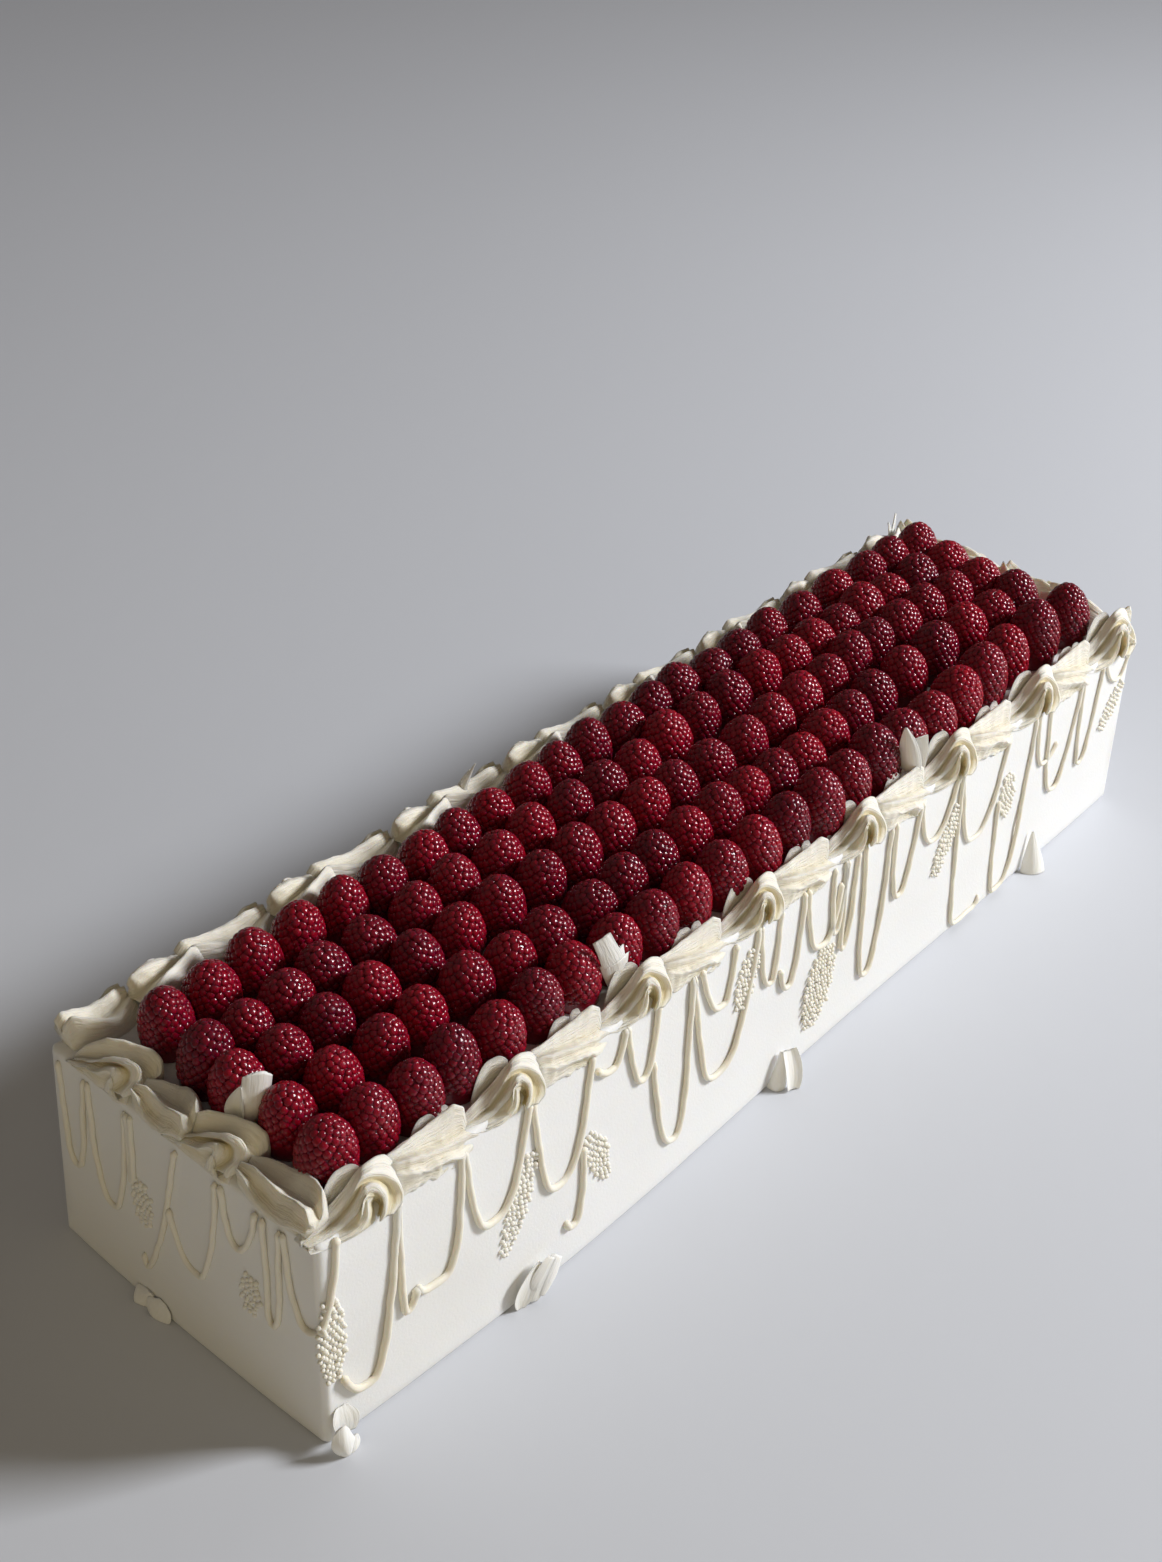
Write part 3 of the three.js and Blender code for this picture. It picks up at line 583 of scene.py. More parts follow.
LYING_SHELL_LINES = {
    "wing edge": [
        (0, 8, -8), (6, 7.5, -11), (10, 7, -12.5), (14.5, 7, -13.5), (21.5, 10, -13), (29, 13, -11),
        (36, 15, -8), (39, 10, -6),
    ],
    "wing valley": [(0, 6, -5), (9.5, 4.5, -7), (17, 4, -7.5), (25, 5.5, -7), (35, 10, -5), (39, 7, -4)],
    "ridge": [
        (0, 9, -3), (8, 11, -3.5), (14, 10, -3), (21, 9.5, -2.5), (29.5, 11.5, -2), (36.5, 13, -1),
        (39, 9, 0),
    ],
    "valley": [(1, 8, -1), (7.5, 7.5, -1), (13.5, 5, -1), (20.5, 4.5, -0.5), (29.5, 7, 0), (38, 7, 0.5)],
    "lip": [
        (1, 9, 0), (7, 9, 1), (10, 6, 1.5), (15, 4, 2), (22, 2.5, 2.5), (26.5, 2.5, 2.5), (33, 5, 2),
        (38.5, 5, 1),
    ],
    "foot": [
        (2, 2, 0), (5, 0, 0), (8.5, -1.5, 0), (17, -2.5, 0), (23.5, -2, 0), (29, -1, 0), (37, 0, 0),
    ],
    "inside": [(2, -4, -4), (37, -4, -4)],
    "back foot": [(0, -1, -14), (12, -1, -16), (24, -1, -16), (38, -1, -10)],
}


def drawn(lines, way, seed, ways=None):
    """The lines with a ring at each way along: joined straight between their places, rounded by
    averaging neighbours three times, and each moved a little by its own slow waves. Without ways for
    the places, the rings lie at even distances. Gives [line, ring, the three numbers and tone 0]."""
    found = []
    for number, places in enumerate(lines.values()):
        places = np.array(places, float)
        if ways is None:
            line, _ = evenly(places, len(way))
        else:
            line = np.stack([np.interp(way, ways, column) for column in places.T], -1)
        for _ in range(3):
            line[1:-1] = (line[:-2] + 2 * line[1:-1] + line[2:]) / 4
        shift = [wander(way * 9, 40 * seed + 3 * number + k) for k in range(3)]
        found.append(line + 0.22 * np.stack(shift, -1))
    found = np.stack(found)
    return np.concatenate([found, 0 * found[..., :1]], axis=-1)


def between(one, other, centre, depth, tone):
    """A line halfway between two, moved away from the centre line (or towards it if depth is less
    than 0) by depth at each place along, with its own tone."""
    line = (one + other) / 2
    way = line[:, :3] - centre
    line[:, :3] += depth[:, None] * way / np.linalg.norm(way, axis=1, keepdims=True)
    line[:, 3] = tone
    return line


LOFT_STEPS, LOFT_SLOPE = 4, 0.27


def lofted(lines, middle, stretch, size):
    """A closed surface over lines that go round it, as [ring, corner, xyz and tone]: between two
    lines it follows a cubic curve whose slope at each line is 0.27 of the step over its neighbours.
    Places along the side are taken from the scroll's middle times stretch, the others times size."""
    lines = np.stack(lines)
    before, after, next_after = (np.roll(lines, k, axis=0) for k in (1, -1, -2))
    u = (np.arange(LOFT_STEPS) / LOFT_STEPS)[None, :, None, None]
    a, b, c, d = before[:, None], lines[:, None], after[:, None], next_after[:, None]
    slope_b, slope_c = LOFT_SLOPE * (c - a), LOFT_SLOPE * (d - b)
    curve = b + slope_b * u + (3 * (c - b) - 2 * slope_b - slope_c) * u ** 2
    curve = curve + (2 * (b - c) + slope_b + slope_c) * u ** 3
    curve = np.swapaxes(curve.reshape(-1, *lines.shape[1:]), 0, 1)
    x, h, o, tone = np.moveaxis(curve, -1, 0)
    return np.stack([middle + x * stretch, -o * size, HEIGHT + h * size, tone], -1)


def scroll(middle, size, seed):
    """The scroll: its ridges with hollows between them, which are deepest inside the curl. The hollows'
    tone is painted shade, heaviest inside the curl.
    """
    way = np.linspace(0, 1, 72)
    lines = drawn(SCROLL_LINES, way, seed, SCROLL_WAYS)
    back, rim, arch, inner, third, fourth, eye, foot, inside, back_foot = lines
    centre = (back[:, :3] + rim[:, :3] + arch[:, :3] + foot[:, :3] + back_foot[:, :3]) / 5
    crest = between(back, rim, centre, 0.3 - 0.5 * np.sin(np.pi * way), 0)
    face_ways = [0, .2, .42, .55, .66, .85, .95, 1]
    face_depth = np.interp(way, face_ways, [.9, 1.8, 2.4, 3, 3.4, 3.4, 2.4, .6])
    face = between(rim, arch, centre, -face_depth, 0)
    # The fourth numbers are painted shade: a darker yellow in the hollows, most inside the curl.
    face[:, 3] = np.interp(way, [0, .3, .55, .7, .9, 1], [.3, .35, .7, 1, .8, .4])
    side_depth = np.interp(way, [0, .2, .45, .58, .66, 1], [.5, 1.5, 2.4, 1.6, .8, .2])
    side = between(inner, third, centre, -side_depth, 0)
    side[:, 3] = np.interp(way, [0, .3, .5, .66, .7, 1], [.2, .4, .5, .5, .9, .9])
    fold_depth = np.interp(way, [0, .2, .45, .6, .66, 1], [.3, 1.2, 1.6, 1.2, .4, .2])
    fold = between(third, fourth, centre, -fold_depth, 0)
    fold[:, 3] = np.interp(way, [0, .5, .66, .7, 1], [.2, .3, .5, 1, 1])
    third[:, 3] = fourth[:, 3] = np.interp(way, [0, .64, .72, 1], [.1, .1, 1, 1])
    eye[:, 3] = np.interp(way, [0, .35, .5, 1], [.2, .4, 1, 1])
    lines = [
        back, crest, rim, face, arch, inner, side, third, fold, fourth, eye, foot, inside, back_foot,
    ]
    return lofted(lines, middle, size, size)


# A flap is (where it starts from the scroll's middle, its length, its height): one stands behind each
# scroll, and two behind each shell but the last. They are set back from the edge and lean to the fruit.
SCROLL_FLAP = (-17.0, 17.0, 14.2)
SHELL_FLAPS = [(20.0, 12.0, 11.0), (31.5, 6.5, 10.0)]
FLAP_SET_BACK, FLAP_LEAN, FLAP_THICKNESS = 8.2, 2.6, 1.4


def flap(middle, size, seed, start, long, tall):
    """A loose tooth of cream: a thin leaf behind the ribbons. Its top rises by a quarter sine and drops
    again in its last quarter, its lean is lost by the cube of the way along, and its section is a
    flat lens."""
    t = np.linspace(0, 1, 26)[:, None]
    turn = np.linspace(0, 2 * np.pi, 20, endpoint=False)
    rise = np.sin(np.pi / 2 * np.clip(t / 0.62, 0, 1))
    top = 1.0 + (tall - 1.0) * rise - 3.5 * np.clip((t - 0.75) / 0.25, 0, 1) ** 2
    half = (top + 1.0) / 2
    up = -1.0 + half + half * np.cos(turn)
    lens = FLAP_THICKNESS / 2 * np.sin(turn) * (0.4 + 0.6 * np.sin(turn) ** 2)
    out = -FLAP_SET_BACK - FLAP_LEAN * (up / 14) + FLAP_LEAN * t ** 3 * (up / 14) + lens
    x = start + long * t + 0.16 * up * (t - 0.3)
    scale = size * (1 + 0.06 * sway(seed, 64))
    return np.stack([middle + x * size, -out + 0 * up, HEIGHT + up * scale], -1)


def shell(middle, reach, size, seed):
    """The shell: three ridges that spread and sink from behind the curl, the back one a thin wing
    that stands up to a rounded tip and drops off, the lowest with a free lip over a hollow. Its lower
    lines are a little torn, by waves that grow over the first sixth of the way."""
    way = np.linspace(0, 1, 120)
    lines = drawn(SHELL_LINES, way, seed + 300, SHELL_WAYS)
    wing, groove, rib, lip, under, foot, inside, back_foot, hump, wing_back, wing_side = lines
    centre = (groove[:, :3] + foot[:, :3] + back_foot[:, :3]) / 3
    for number, (line, torn) in enumerate(((rib, 0.12), (lip, 0.25), (under, 0.6), (foot, 0.7))):
        rough = torn * np.minimum(1, 6 * way)
        line[:, 1] += rough * wander(way * 13, 9 * seed + number)
        line[:, 2] += 0.7 * rough * wander(way * 11, 9 * seed + number + 5)
    face = between(wing, groove, centre, -0.5 * np.sin(np.pi * way), 0)
    # Painted shade: the crease, the groove and the line under the lip get a tone of darker yellow.
    crease = between(rib, lip, centre, -1.4 - 0.5 * np.sin(np.pi * way), 0.3)
    groove[:, 3], under[:, 3] = 0.35, np.interp(way, [0, .4, .6, 1], [.3, .3, .6, .3])
    lines = [
        wing, face, groove, rib, crease, lip, under, foot, inside, back_foot, hump, wing_back, wing_side,
    ]
    return lofted(lines, middle, reach / SHELL_REACH, size)


def lying_scroll(middle, size, seed):
    """The lying scroll: a broad flap towards the fruit, the bright band that curls over and hooks
    down to the edge, and a small fold inside its curl, with hollows between them. It starts low,
    and is as tall as its lines from three tenths of the way on."""
    way = np.linspace(0, 1, 64)
    fullness = np.sin(np.pi * way) ** 0.5
    lines = drawn(LYING_SCROLL_LINES, way, seed)
    lines[:, :, 1] *= np.interp(way, [0, 0.1, 0.3], [0.25, 0.6, 1])
    flap_edge, valley, ridge, edge, fold, fold_edge, foot, inside, back_foot = lines
    centre = (flap_edge[:, :3] + foot[:, :3] + back_foot[:, :3]) / 3
    swell = between(back_foot, flap_edge, centre, 1.5 * fullness, 0)
    throat = between(edge, fold, centre, -3.4 * fullness, 0)
    # Painted shade: the throat, the valley and the line under the fold get a tone of darker yellow, the
    # throat most towards the end of the curl.
    throat[:, 3] = np.interp(way, [0, 0.4, 0.7, 1], [0.3, 0.7, 1, 0.6])
    valley[:, 3] = np.interp(way, [0, 0.5, 1], [0.2, 0.4, 0.7])
    under = between(fold_edge, foot, centre, -1.4 * fullness, 0.4)
    lines = [
        back_foot, swell, flap_edge, valley, ridge, edge, throat, fold, fold_edge, under, foot, inside,
    ]
    return lofted(lines, middle, size, size)


def lying_shell(middle, reach, size, seed):
    """The lying shell: a broad wing towards the fruit, a narrow ridge, and a lip over the edge."""
    way = np.linspace(0, 1, 56)
    lines = drawn(LYING_SHELL_LINES, way, seed + 300)
    wing, wing_valley, ridge, valley, lip, foot, inside, back_foot = lines
    centre = (wing[:, :3] + foot[:, :3] + back_foot[:, :3]) / 3
    swell = between(back_foot, wing, centre, 1.2 * np.sin(np.pi * way) ** 0.5, 0)
    # Painted shade: the two valleys and the line under the lip get a tone of darker yellow.
    wing_valley[:, 3], valley[:, 3] = 0.3, 0.45
    under = between(lip, foot, centre, -0.8 * np.sin(np.pi * way), 0.4)
    lines = [back_foot, swell, wing, wing_valley, ridge, valley, lip, under, foot, inside]
    return lofted(lines, middle, reach / LYING_SHELL_REACH, size)


# Each run: how many motifs, where its first scroll's middle is, and the step to the next one.
BORDER_RUNS = {
    "front": (8, 26.0, 71.0), "right": (2, 46.0, 54.0), "back": (8, 42.0, 66.5), "left": (2, 46.0, 54.0),
}
# The front's motifs were piped larger at both its ends, and the back's scrolls fuller than its shells.
FRONT_SIZES = [1.12, 1.05, 1.04, 1.06, 1.08, 1.12, 1.18, 1.24]
LYING_SIZE, BACK_SWELL = 1.08, 1.14
# How far before the corner the last shell of a run ends.
FRONT_END_GAP, LYING_END_GAP = 3.0, 4.0

for side_name, (count, first, pitch) in BORDER_RUNS.items():
    quarter = SIDES[side_name][0]
    long = WIDTH if quarter % 2 else LENGTH
    for index in range(count):
        middle = first + pitch * index
        seed = 20 * quarter + index
        last = index == count - 1
        if side_name == "front":
            size = FRONT_SIZES[index]
            reach = long - middle - FRONT_END_GAP if last else pitch - SCROLL_BACK
            strokes = [scroll(middle, size, seed), flap(middle, size, seed, *SCROLL_FLAP)]
            strokes.append(shell(middle, reach, size, seed))
            if not last:
                strokes += [flap(middle, size, seed, *place) for place in SHELL_FLAPS]
        else:
            size = LYING_SIZE + 0.05 * sway(seed, 62)
            swell = BACK_SWELL if side_name == "back" else 1.0
            reach = long - middle - LYING_END_GAP if last else pitch - LYING_BACK + 1.0
            strokes = [lying_scroll(middle, size * swell, seed)]
            strokes.append(lying_shell(middle, reach, size / swell, seed))
        placed = [on_side(stroke, quarter)[None] for stroke in strokes]
        motif = f"{side_name}_{index + 1:02d}"
        skin(
            f"border_scroll_{motif}", placed, border_cream, [f"border_{motif}"],
            span=(40.0, 60.0),
        )


# The raspberries: whole fresh fruit stood on its open end, tip up, in five lanes of 23. Each is a
# hollow cup of about 170 juicy drupelets packed in spirals, dark crimson with a faint bloom.
# They were set by hand, so the lanes drift and no berry stands quite in line.
BERRY_LANES, BERRY_ROWS = 5, 23
LANE_PITCH, ROW_PITCH = 22.5, 22.1
FIRST_ROW_FROM_END = 28.5
# The whole field was set a little to the left and to the front.
FIELD_SHIFT = (-2.0, -1.7)
# The berries at the far end are larger, and the front lane's are the tallest there.
BERRY_TALL, BERRY_HALF_WIDTH = 25.5, 10.3
FAR_TALLER, FAR_TALLER_IN_FRONT, FAR_WIDER = 2.5, 5.0, 1.6
DRUPELET_PITCH = 3.0
LOWEST_DRUPELET = 5.5
GOLDEN_ANGLE = 2.39996
# How far the berries stand from their even places, along and across, for each lane at these rows.
SHIFT_ROWS = [0, 3, 7, 11, 14, 17, 20, 22]
LANE_SHIFTS = [
    [(-2, -2), (-10, -4), (-11, -2), (-13, -3), (-16, -4), (-18, -2), (-11, 2), (-3, 1)],
    [(0, -3), (0, -1), (-1, -4), (-7, -2), (-19, -4), (-17, 4), (-5, 6), (-6, 4)],
    [(-3, -3), (-3, -2), (-2, -1), (-4, 0), (-3, 0), (-2, 7), (-3, 7), (-7, 2)],
    [(-1, -6), (-7, -4), (-4, -3), (-3, 0), (1, 5), (-2, 3), (-5, 5), (-4, 0)],
    [(2, -5), (1, -3), (-3, -4), (-8, -1), (-11, 1), (-13, 0), (5, 3), (-3, -3)],
]


def berry_looks(place, surface):
    """Deep crimson that turns purplish from fruit to fruit and from drupelet to drupelet (the tone),
    with a thin cloudy bloom. The core's lower tone is painted shade in the crevices between the
    drupelets."""
    tone = place.node("ShaderNodeAttribute", {"attribute_name": "tone"}, output=2)
    bloom = place.noise(150.0, 3.0)
    grain = place.noise(1500.0, 2.0)
    red = tone.mix((0.12, 0.001, 0.012), (0.31, 0.003, 0.018))
    dusty = bloom.clear(0.5, 0.85) * 0.05
    return {
        "Base Color": dusty.mix(red, (0.24, 0.03, 0.07)),
        "Roughness": bloom * 0.18 + 0.11,
        "bump": (grain, 0.0001),
    }


berry_red = finish("raspberry_flesh", {
    "Subsurface Weight": 0.7, "Subsurface Radius": (1.0, 0.06, 0.06), "Subsurface Scale": 0.006,
    "Specular IOR Level": 0.5,
}, berry_looks)


def berry_profile(share):
    """Half width of a berry at a share of its height, as a part of its widest: 0.94 at the open end,
    full at a third, and rounded over to the tip."""
    below = 1 - 0.06 * (1 - share / 0.36) ** 2
    above = np.clip(1 - np.clip((share - 0.36) / 0.64, 0, 1) ** 2.1, 0, 1) ** 0.55
    return np.where(share < 0.36, below, above)


def drupelets(line, along, seed):
    """Low domes of three rings, spread over the outline turned about the upright: equal areas between
    one and the next, each turned on by the golden angle, and each standing along the outline's
    normal. Gives the domes, and the numbers that their draws are made with."""
    tangent = np.gradient(line, axis=0)
    tangent /= np.linalg.norm(tangent, axis=1, keepdims=True)
    area = np.cumsum(2 * np.pi * line[:, 0]) * along[1]
    shown = area[-1] - np.interp(LOWEST_DRUPELET, line[:, 1], area)
    count = int(shown / (0.87 * DRUPELET_PITCH ** 2))
    number = np.arange(count)
    item = number + 400 * seed
    step = np.interp(area[-1] - shown * (number + 0.5) / count, area, along) + 0.4 * sway(item, 19)
    r, z, slope_r, slope_z = (np.interp(step, along, column) for column in (*line.T, *tangent.T))
    size = DRUPELET_PITCH / 2 * (1.13 + 0.16 * sway(item, 20))
    angle = GOLDEN_ANGLE * number + 6.28 * chance(seed, 18)
    angle = angle + 0.4 * sway(item, 23) / np.maximum(r, 2)
    cos, sin = np.cos(angle), np.sin(angle)
    out = np.stack([slope_z * cos, slope_z * sin, -slope_r], -1)
    side = np.stack([-sin, cos, 0 * sin], -1)
    up = np.cross(out, side)
    base = np.stack([r * cos, r * sin, z], -1) - 0.65 * out
    turn = np.linspace(0, 2 * np.pi, 7, endpoint=False)
    lift = np.array([-0.3, 0.26, 0.5])
    wide_at = np.array([1.15, 0.9, 0.48])
    reach = size[:, None, None] * wide_at[:, None]
    domes = base[:, None, None] + (size[:, None] * lift)[..., None, None] * out[:, None, None]
    domes = domes + (reach * np.cos(turn))[..., None] * side[:, None, None]
    domes = domes + 1.08 * (reach * np.sin(turn))[..., None] * up[:, None, None]
    return domes, item


def core(line):
    """The body under the drupelets: the outline, drawn in a little and turned about the upright."""
    line, _ = evenly(line, 16)
    spin = np.linspace(0, 2 * np.pi, 24, endpoint=False)
    r = np.maximum(line[:, :1] - 0.3, 0.3)
    z = np.maximum(line[:, 1:] - 0.6 + 0 * spin, 0)
    return np.stack([r * np.cos(spin), r * np.sin(spin), z], -1)[None]


def berry(row, lane):
    """One berry's core and drupelets at its place in its lane. It leans by the square of the height,
    and its tone is its own plus a little for each drupelet. The core, which shows only in the crevices
    between the drupelets, takes 0.6 of the tone: painted shade there."""
    seed = row * BERRY_LANES + lane
    far = row / (BERRY_ROWS - 1)
    taller = FAR_TALLER_IN_FRONT if lane == 0 else FAR_TALLER
    tall = (BERRY_TALL + taller * far) * (1 + 0.06 * sway(seed, 17))
    wide = (BERRY_HALF_WIDTH + FAR_WIDER * far) * (1 + 0.06 * sway(seed, 16))
    share = np.linspace(0, 1, 200)
    line, along = evenly(np.stack([berry_profile(share) * wide, share * tall], -1), 200)
    domes, item = drupelets(line, along, seed)
    shift_x, shift_y = (np.interp(row, SHIFT_ROWS, column) for column in zip(*LANE_SHIFTS[lane]))
    x = -LENGTH / 2 + FIRST_ROW_FROM_END + ROW_PITCH * row + shift_x + sway(seed, 14) + FIELD_SHIFT[0]
    y = LANE_PITCH * (lane - (BERRY_LANES - 1) / 2) + shift_y + 1.2 * sway(seed, 15) + FIELD_SHIFT[1]
    tone = np.clip(0.5 + 0.4 * sway(seed, 21) + 0.2 * sway(item, 22), 0, 1)
    placed = []
    # The core is darker, at 0.6 of the tone: painted shade in the crevices between the drupelets.
    for part, tones in ((core(line), tone[:1] * 0.6), (domes, tone)):
        height = part[..., 2:] / tall
        lean = np.array([1.5 * sway(seed, 12), 1.5 * sway(seed, 13), 0]) * height ** 2
        tones = np.broadcast_to(tones[:, None, None, None], part[..., :1].shape)
        placed.append(np.concatenate([part + lean + np.array([x, y, HEIGHT + 0.3]), tones], -1))
    return placed


for row in range(BERRY_ROWS):
    parts = [part for lane in range(BERRY_LANES) for part in berry(row, lane)]
    number = f"{row + 1:02d}"
    skin(f"raspberries_{number}", parts, berry_red, [f"raspberries_row_{number}"])


# The petals: thin curved flakes of firm white cream pulled off a petal tip, five stood up among the
# berries and along the border, and five leaned on the foot of the cake. Each stands at a place (from
# the left end, from the front, height), turned by degrees from facing the front, and is of one to
# three leaves: [foot, middle and top as (across, forward, up), widths there, cup, arch, spin].
PETAL_THICKNESS = 1.1
PETALS = {
    "petal_left_end": (15.6, 54.5, 100.8, -38, [
        [(0.2, 0.5, 0.2), (-0.3, -1.5, 9), (1.2, 0, 19.0), (1.5, 7, 1.2), 3.0, 0, 25],
        [(3.0, 0, -0.5), (5.6, 0.4, 12), (7.4, -1.5, 23.6), (5, 9.5, 10.5), -1.0, 2.2, -12],
    ]),
    "petal_front_near": (160.7, 12.2, 97.0, -15, [
        [(0.6, 1, 0), (0.2, 1.6, 7), (-0.9, 2.2, 15.6), (3.8, 9.5, 13), -1.6, 0, 0],
        [(-2.6, 2.6, 16), (-4.6, 1.6, 21.6), (-7, 0.4, 28), (9.5, 8.5, 7.8), -0.5, 0, 5],
        [(4.6, 0, 7), (3.4, -0.4, 12.2), (1.8, -1.2, 18), (4, 6.5, 8), -1, 1.2, -15],
    ]),
    "petal_front_far": (351.0, 7.2, 107.2, -25, [
        [(-1.0, 1.2, -2), (-4.2, 1.6, 11), (-6, 0.2, 21.0), (9, 8.4, 1), -1.6, 0, 45],
        [(4.2, 0, -3.5), (2.8, -1.2, 6), (1.0, -1.5, 13.0), (4.5, 8, 9.5), 2.6, -1, 0],
    ]),
    "petal_back": (209.0, 136.3, 95.3, -46, [
        [(-1.5, 0.2, 2), (0.9, 0.3, 11), (4.8, 0, 20), (5, 3.0, 0.5), -0.8, 0, 0],
        [(-2.8, -2.2, 2), (-0.6, -2.2, 9), (2.6, -2, 15.6), (4, 2.4, 0.8), 0, 0, 0],
    ]),
    "petal_far_corner": (524.0, 135.0, 95.3, 10, [
        [(-1.5, 0, 4), (-1.8, 0.5, 11), (-4.2, 0, 17.8), (5, 3.4, 1), 0.8, 0, 0],
        [(0.5, 0, 3), (1.5, 0.5, 12), (4.2, 0, 19.8), (6, 4, 1.2), 1, 0, 0],
    ]),
    "petal_foot_corner": (0.7, -9.4, 0, -15, [
        [(0.2, 1.5, 0), (-0.9, 2.5, 6.9), (0.2, -1, 12.9), (5, 9, 7), -2.5, 2.5, 0],
        [(2.3, -3.5, 6), (2.5, -5, 11.5), (3.1, -8, 15.2), (6.5, 10.5, 6), 1.2, 1.5, 0],
        [(1.7, 1.2, 0), (3.3, 0.8, 2.6), (4.4, -1, 5.8), (3, 5.5, 3), -1, 1, 0],
    ]),
    "petal_foot_front_near": (93.0, -11.6, 0, -18, [
        [(-4.8, 0.6, 0), (-2.6, 0, 9), (4.8, -2.5, 17), (3.5, 9, 3), 1.6, 0, 0],
        [(1.0, 0.8, 1), (4.0, 0.6, 10), (10.0, -1.5, 17.5), (5, 9.5, 5), -0.8, 0, 0],
        [(4.0, 1.2, 3), (7.8, 0.4, 10.5), (12.5, -2, 16.8), (4, 8, 6), -1.0, 0, 0],
    ]),
    "petal_foot_front_middle": (252.6, -12.6, 0, -30, [
        [(-5.3, 1, 0), (-3.3, -1, 8), (-1.5, -5, 16), (8, 6, 2), -2, 0, 20],
        [(1.5, 1.5, 0.3), (1.8, -1, 8), (1.5, -6, 15.7), (6, 8.5, 7), 2.2, 0, -10],
    ]),
    "petal_foot_front_far": (458.0, -10.6, 0, -40, [
        [(-0.5, 2, 0), (-1.2, -1, 10), (-2.2, -5, 21), (13, 8.5, 1), -2.8, 0, 0],
    ]),
    "petal_foot_left_end": (-6.0, 88.0, 0, -90, [
        [(-7, 1, 0), (-3.5, 0, 2.5), (0, -2.0, 7), (8, 12, 8), -2.5, 2.5, 0],
        [(3, 1, 0), (5, 0, 4), (6, -2.5, 7.5), (9, 13, 9), -1, 2, 0],
    ]),
}


def petal_looks(place, surface):
    """Bright white cream with fine streaks from foot to rim."""
    streaks = surface.noise(1.0, 3.0, (0.8, 0.1, 1.0))
    clouds = place.noise(60.0, 3.0)
    warm = (streaks * 0.5 + clouds * 0.5).clear(0.35, 0.7)
    return {
        "Base Color": warm.mix((0.88, 0.87, 0.84), (0.84, 0.82, 0.75)),
        "Roughness": streaks * 0.2 + 0.4,
        "bump": (streaks, 0.0003),
    }


petal_cream = finish("petal_cream", {
    "Subsurface Weight": 0.3, "Subsurface Radius": (1.0, 0.85, 0.65), "Subsurface Scale": 0.002,
    "Specular IOR Level": 0.35,
}, petal_looks)


def leaf(stand, turn, form, seed):
    """One leaf of cream: a curve through its foot, middle and top, and across it, square to the curve
    and turned by spin, a thin lens as wide as the widths there. With u from -1 to 1 across it, the
    lens bends by cup u^2 towards the face, its rim drops by arch u^2, and fine pleats run up it."""
    foot, middle, top, widths, cup, arch, spin = form
    v = np.linspace(0, 1, 24)[:, None]
    weights = (1 - v) * (1 - 2 * v), 4 * v * (1 - v), v * (2 * v - 1)
    line = sum(w * np.array([a, -f, z]) for w, (a, f, z) in zip(weights, (foot, middle, top)))
    half = np.maximum(sum(w * wide / 2 for w, wide in zip(weights, widths)), 0.2)
    heading = np.gradient(line, axis=0)
    heading /= np.linalg.norm(heading, axis=1, keepdims=True)
    wide_way = np.cross(heading, [0.0, -1.0, 0.0])
    wide_way /= np.linalg.norm(wide_way, axis=1, keepdims=True)
    front = np.cross(wide_way, heading)
    cos, sin = np.cos(np.radians(spin)), np.sin(np.radians(spin))
    wide_way, front = cos * wide_way + sin * front, cos * front - sin * wide_way
    way = np.linspace(0, 2 * np.pi, 40, endpoint=False)
    u = np.cos(way)
    out = cup * u * u * half / half.max() + 0.14 * v * wander(u * 6, seed + 5)
    out = out + PETAL_THICKNESS / 2 * np.sin(way) * (1 - 0.4 * v)
    up = -arch * u * u * v * v + 0.25 * v * wander(u * 4, seed)
    across, outward = (half * u)[..., None] * wide_way[:, None], out[..., None] * front[:, None]
    points = line[:, None] + across + outward + up[..., None] * heading[:, None]
    x, y, z = np.moveaxis(points, -1, 0)
    cos, sin = np.cos(np.radians(turn)), np.sin(np.radians(turn))
    place_x, place_y, place_z = stand
    leaf_x = place_x - LENGTH / 2 + x * cos - y * sin
    leaf_y = place_y - WIDTH / 2 + x * sin + y * cos
    return np.stack([leaf_x, leaf_y, np.maximum(place_z + z, 0.1)], -1)[None]


for number, (petal_name, (*stand, turn, leaves)) in enumerate(PETALS.items()):
    flakes = [leaf(stand, turn, form, 11 * number + index) for index, form in enumerate(leaves)]
    skin(f"cream_{petal_name}", flakes, petal_cream, [petal_name], span=(30.0, 20.0))


# The floor and the light: a plain pale floor 16 m square, faint warm light all round, a bright window
# light from the right, and a weak warm one from the left that leaves no shine. Lengths from here on
# are in metres.
def floor_looks(place, surface):
    """Pale grey, a little uneven in colour and shine."""
    return {
        "Base Color": place.noise(1.2, 2.0).mix((0.62, 0.64, 0.69), (0.64, 0.66, 0.71)),
        "Roughness": place.noise(3.0) * 0.1 + 0.5,
        "bump": (place.noise(40.0), 0.0001),
    }


floor_mesh = bpy.data.meshes.new("floor")
floor_mesh.from_pydata([(-8, -8, 0), (8, -8, 0), (8, 8, 0), (-8, 8, 0)], [], [(0, 1, 2, 3)])
floor_mesh.materials.append(finish("pale_floor", {"Specular IOR Level": 0.2}, floor_looks))
floor = bpy.data.objects.new("floor", floor_mesh)
bpy.context.scene.collection.objects.link(floor)

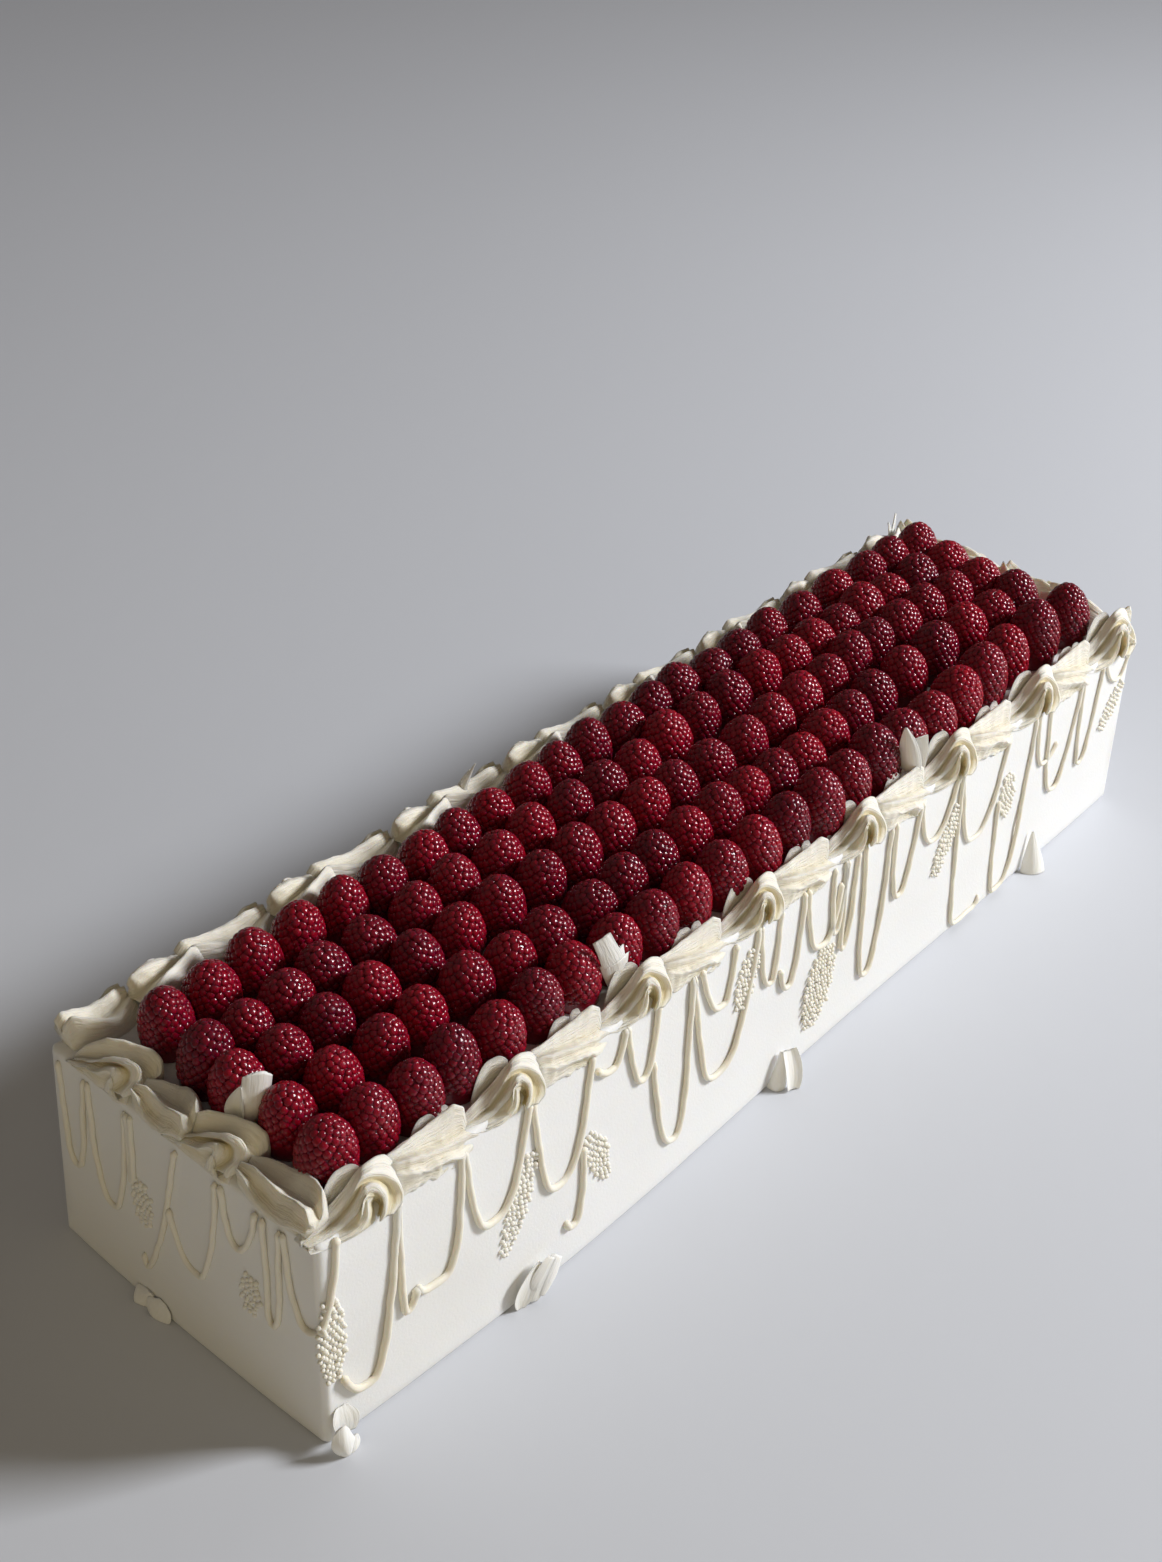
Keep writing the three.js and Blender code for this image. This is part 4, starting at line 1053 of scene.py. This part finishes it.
world = bpy.data.worlds.new("room")
world.use_nodes = True
background = world.node_tree.nodes["Background"]
background.inputs["Color"].default_value = (1.0, 0.89, 0.78, 1.0)
background.inputs["Strength"].default_value = 0.125
bpy.context.scene.world = world


LIT_PLACE = (0, 0, 0.05)


def lamp(name, place, size, power, colour):
    """A square area light at place, turned to the middle of the cake."""
    data = bpy.data.lights.new(name, "AREA")
    data.size, data.energy, data.color = size, power, colour
    light = bpy.data.objects.new(name, data)
    bpy.context.scene.collection.objects.link(light)
    back = np.array(place) - np.array(LIT_PLACE)
    back = back / np.linalg.norm(back)
    right = np.cross((0, 0, 1), back)
    right = right / np.linalg.norm(right)
    up = np.cross(back, right)
    turned = np.column_stack([right, up, back])
    light.matrix_world = Matrix.Translation(place) @ Matrix(turned.tolist()).to_4x4()
    return light


lamp("window_light", (1.6, -1.45, 1.45), 0.6, 77, (0.975, 0.985, 1.0))
warm_light = lamp("warm_light", (-1.6, -1.1, 0.7), 1.5, 5.6, (1.0, 0.82, 0.45))
warm_light.visible_glossy = False
bpy.context.scene.view_settings.view_transform = "Standard"


# The camera stands above the near left corner. Its place, angles and focal length were fitted to the
# corners of the cake in the photo, which is 1562 pixels tall.
CAMERA_PLACE = (-0.561, -0.409, 0.594)
FOCAL_PIXELS, FRAME_HEIGHT = 2020.0, 1562.0
SENSOR = 36.0
yaw, pitch, roll = np.radians([39.48, 35.14, 3.0])
ahead = np.array([np.cos(pitch) * np.cos(yaw), np.cos(pitch) * np.sin(yaw), -np.sin(pitch)])
right = np.array([np.sin(yaw), -np.cos(yaw), 0.0])
up = np.cross(right, ahead)
right, up = np.cos(roll) * right + np.sin(roll) * up, np.cos(roll) * up - np.sin(roll) * right
camera_data = bpy.data.cameras.new("camera")
camera_data.sensor_width = SENSOR
camera_data.lens = SENSOR * FOCAL_PIXELS / FRAME_HEIGHT
camera = bpy.data.objects.new("camera", camera_data)
bpy.context.scene.collection.objects.link(camera)
turned = np.column_stack([right, up, -ahead])
camera.matrix_world = Matrix.Translation(CAMERA_PLACE) @ Matrix(turned.tolist()).to_4x4()
bpy.context.scene.camera = camera
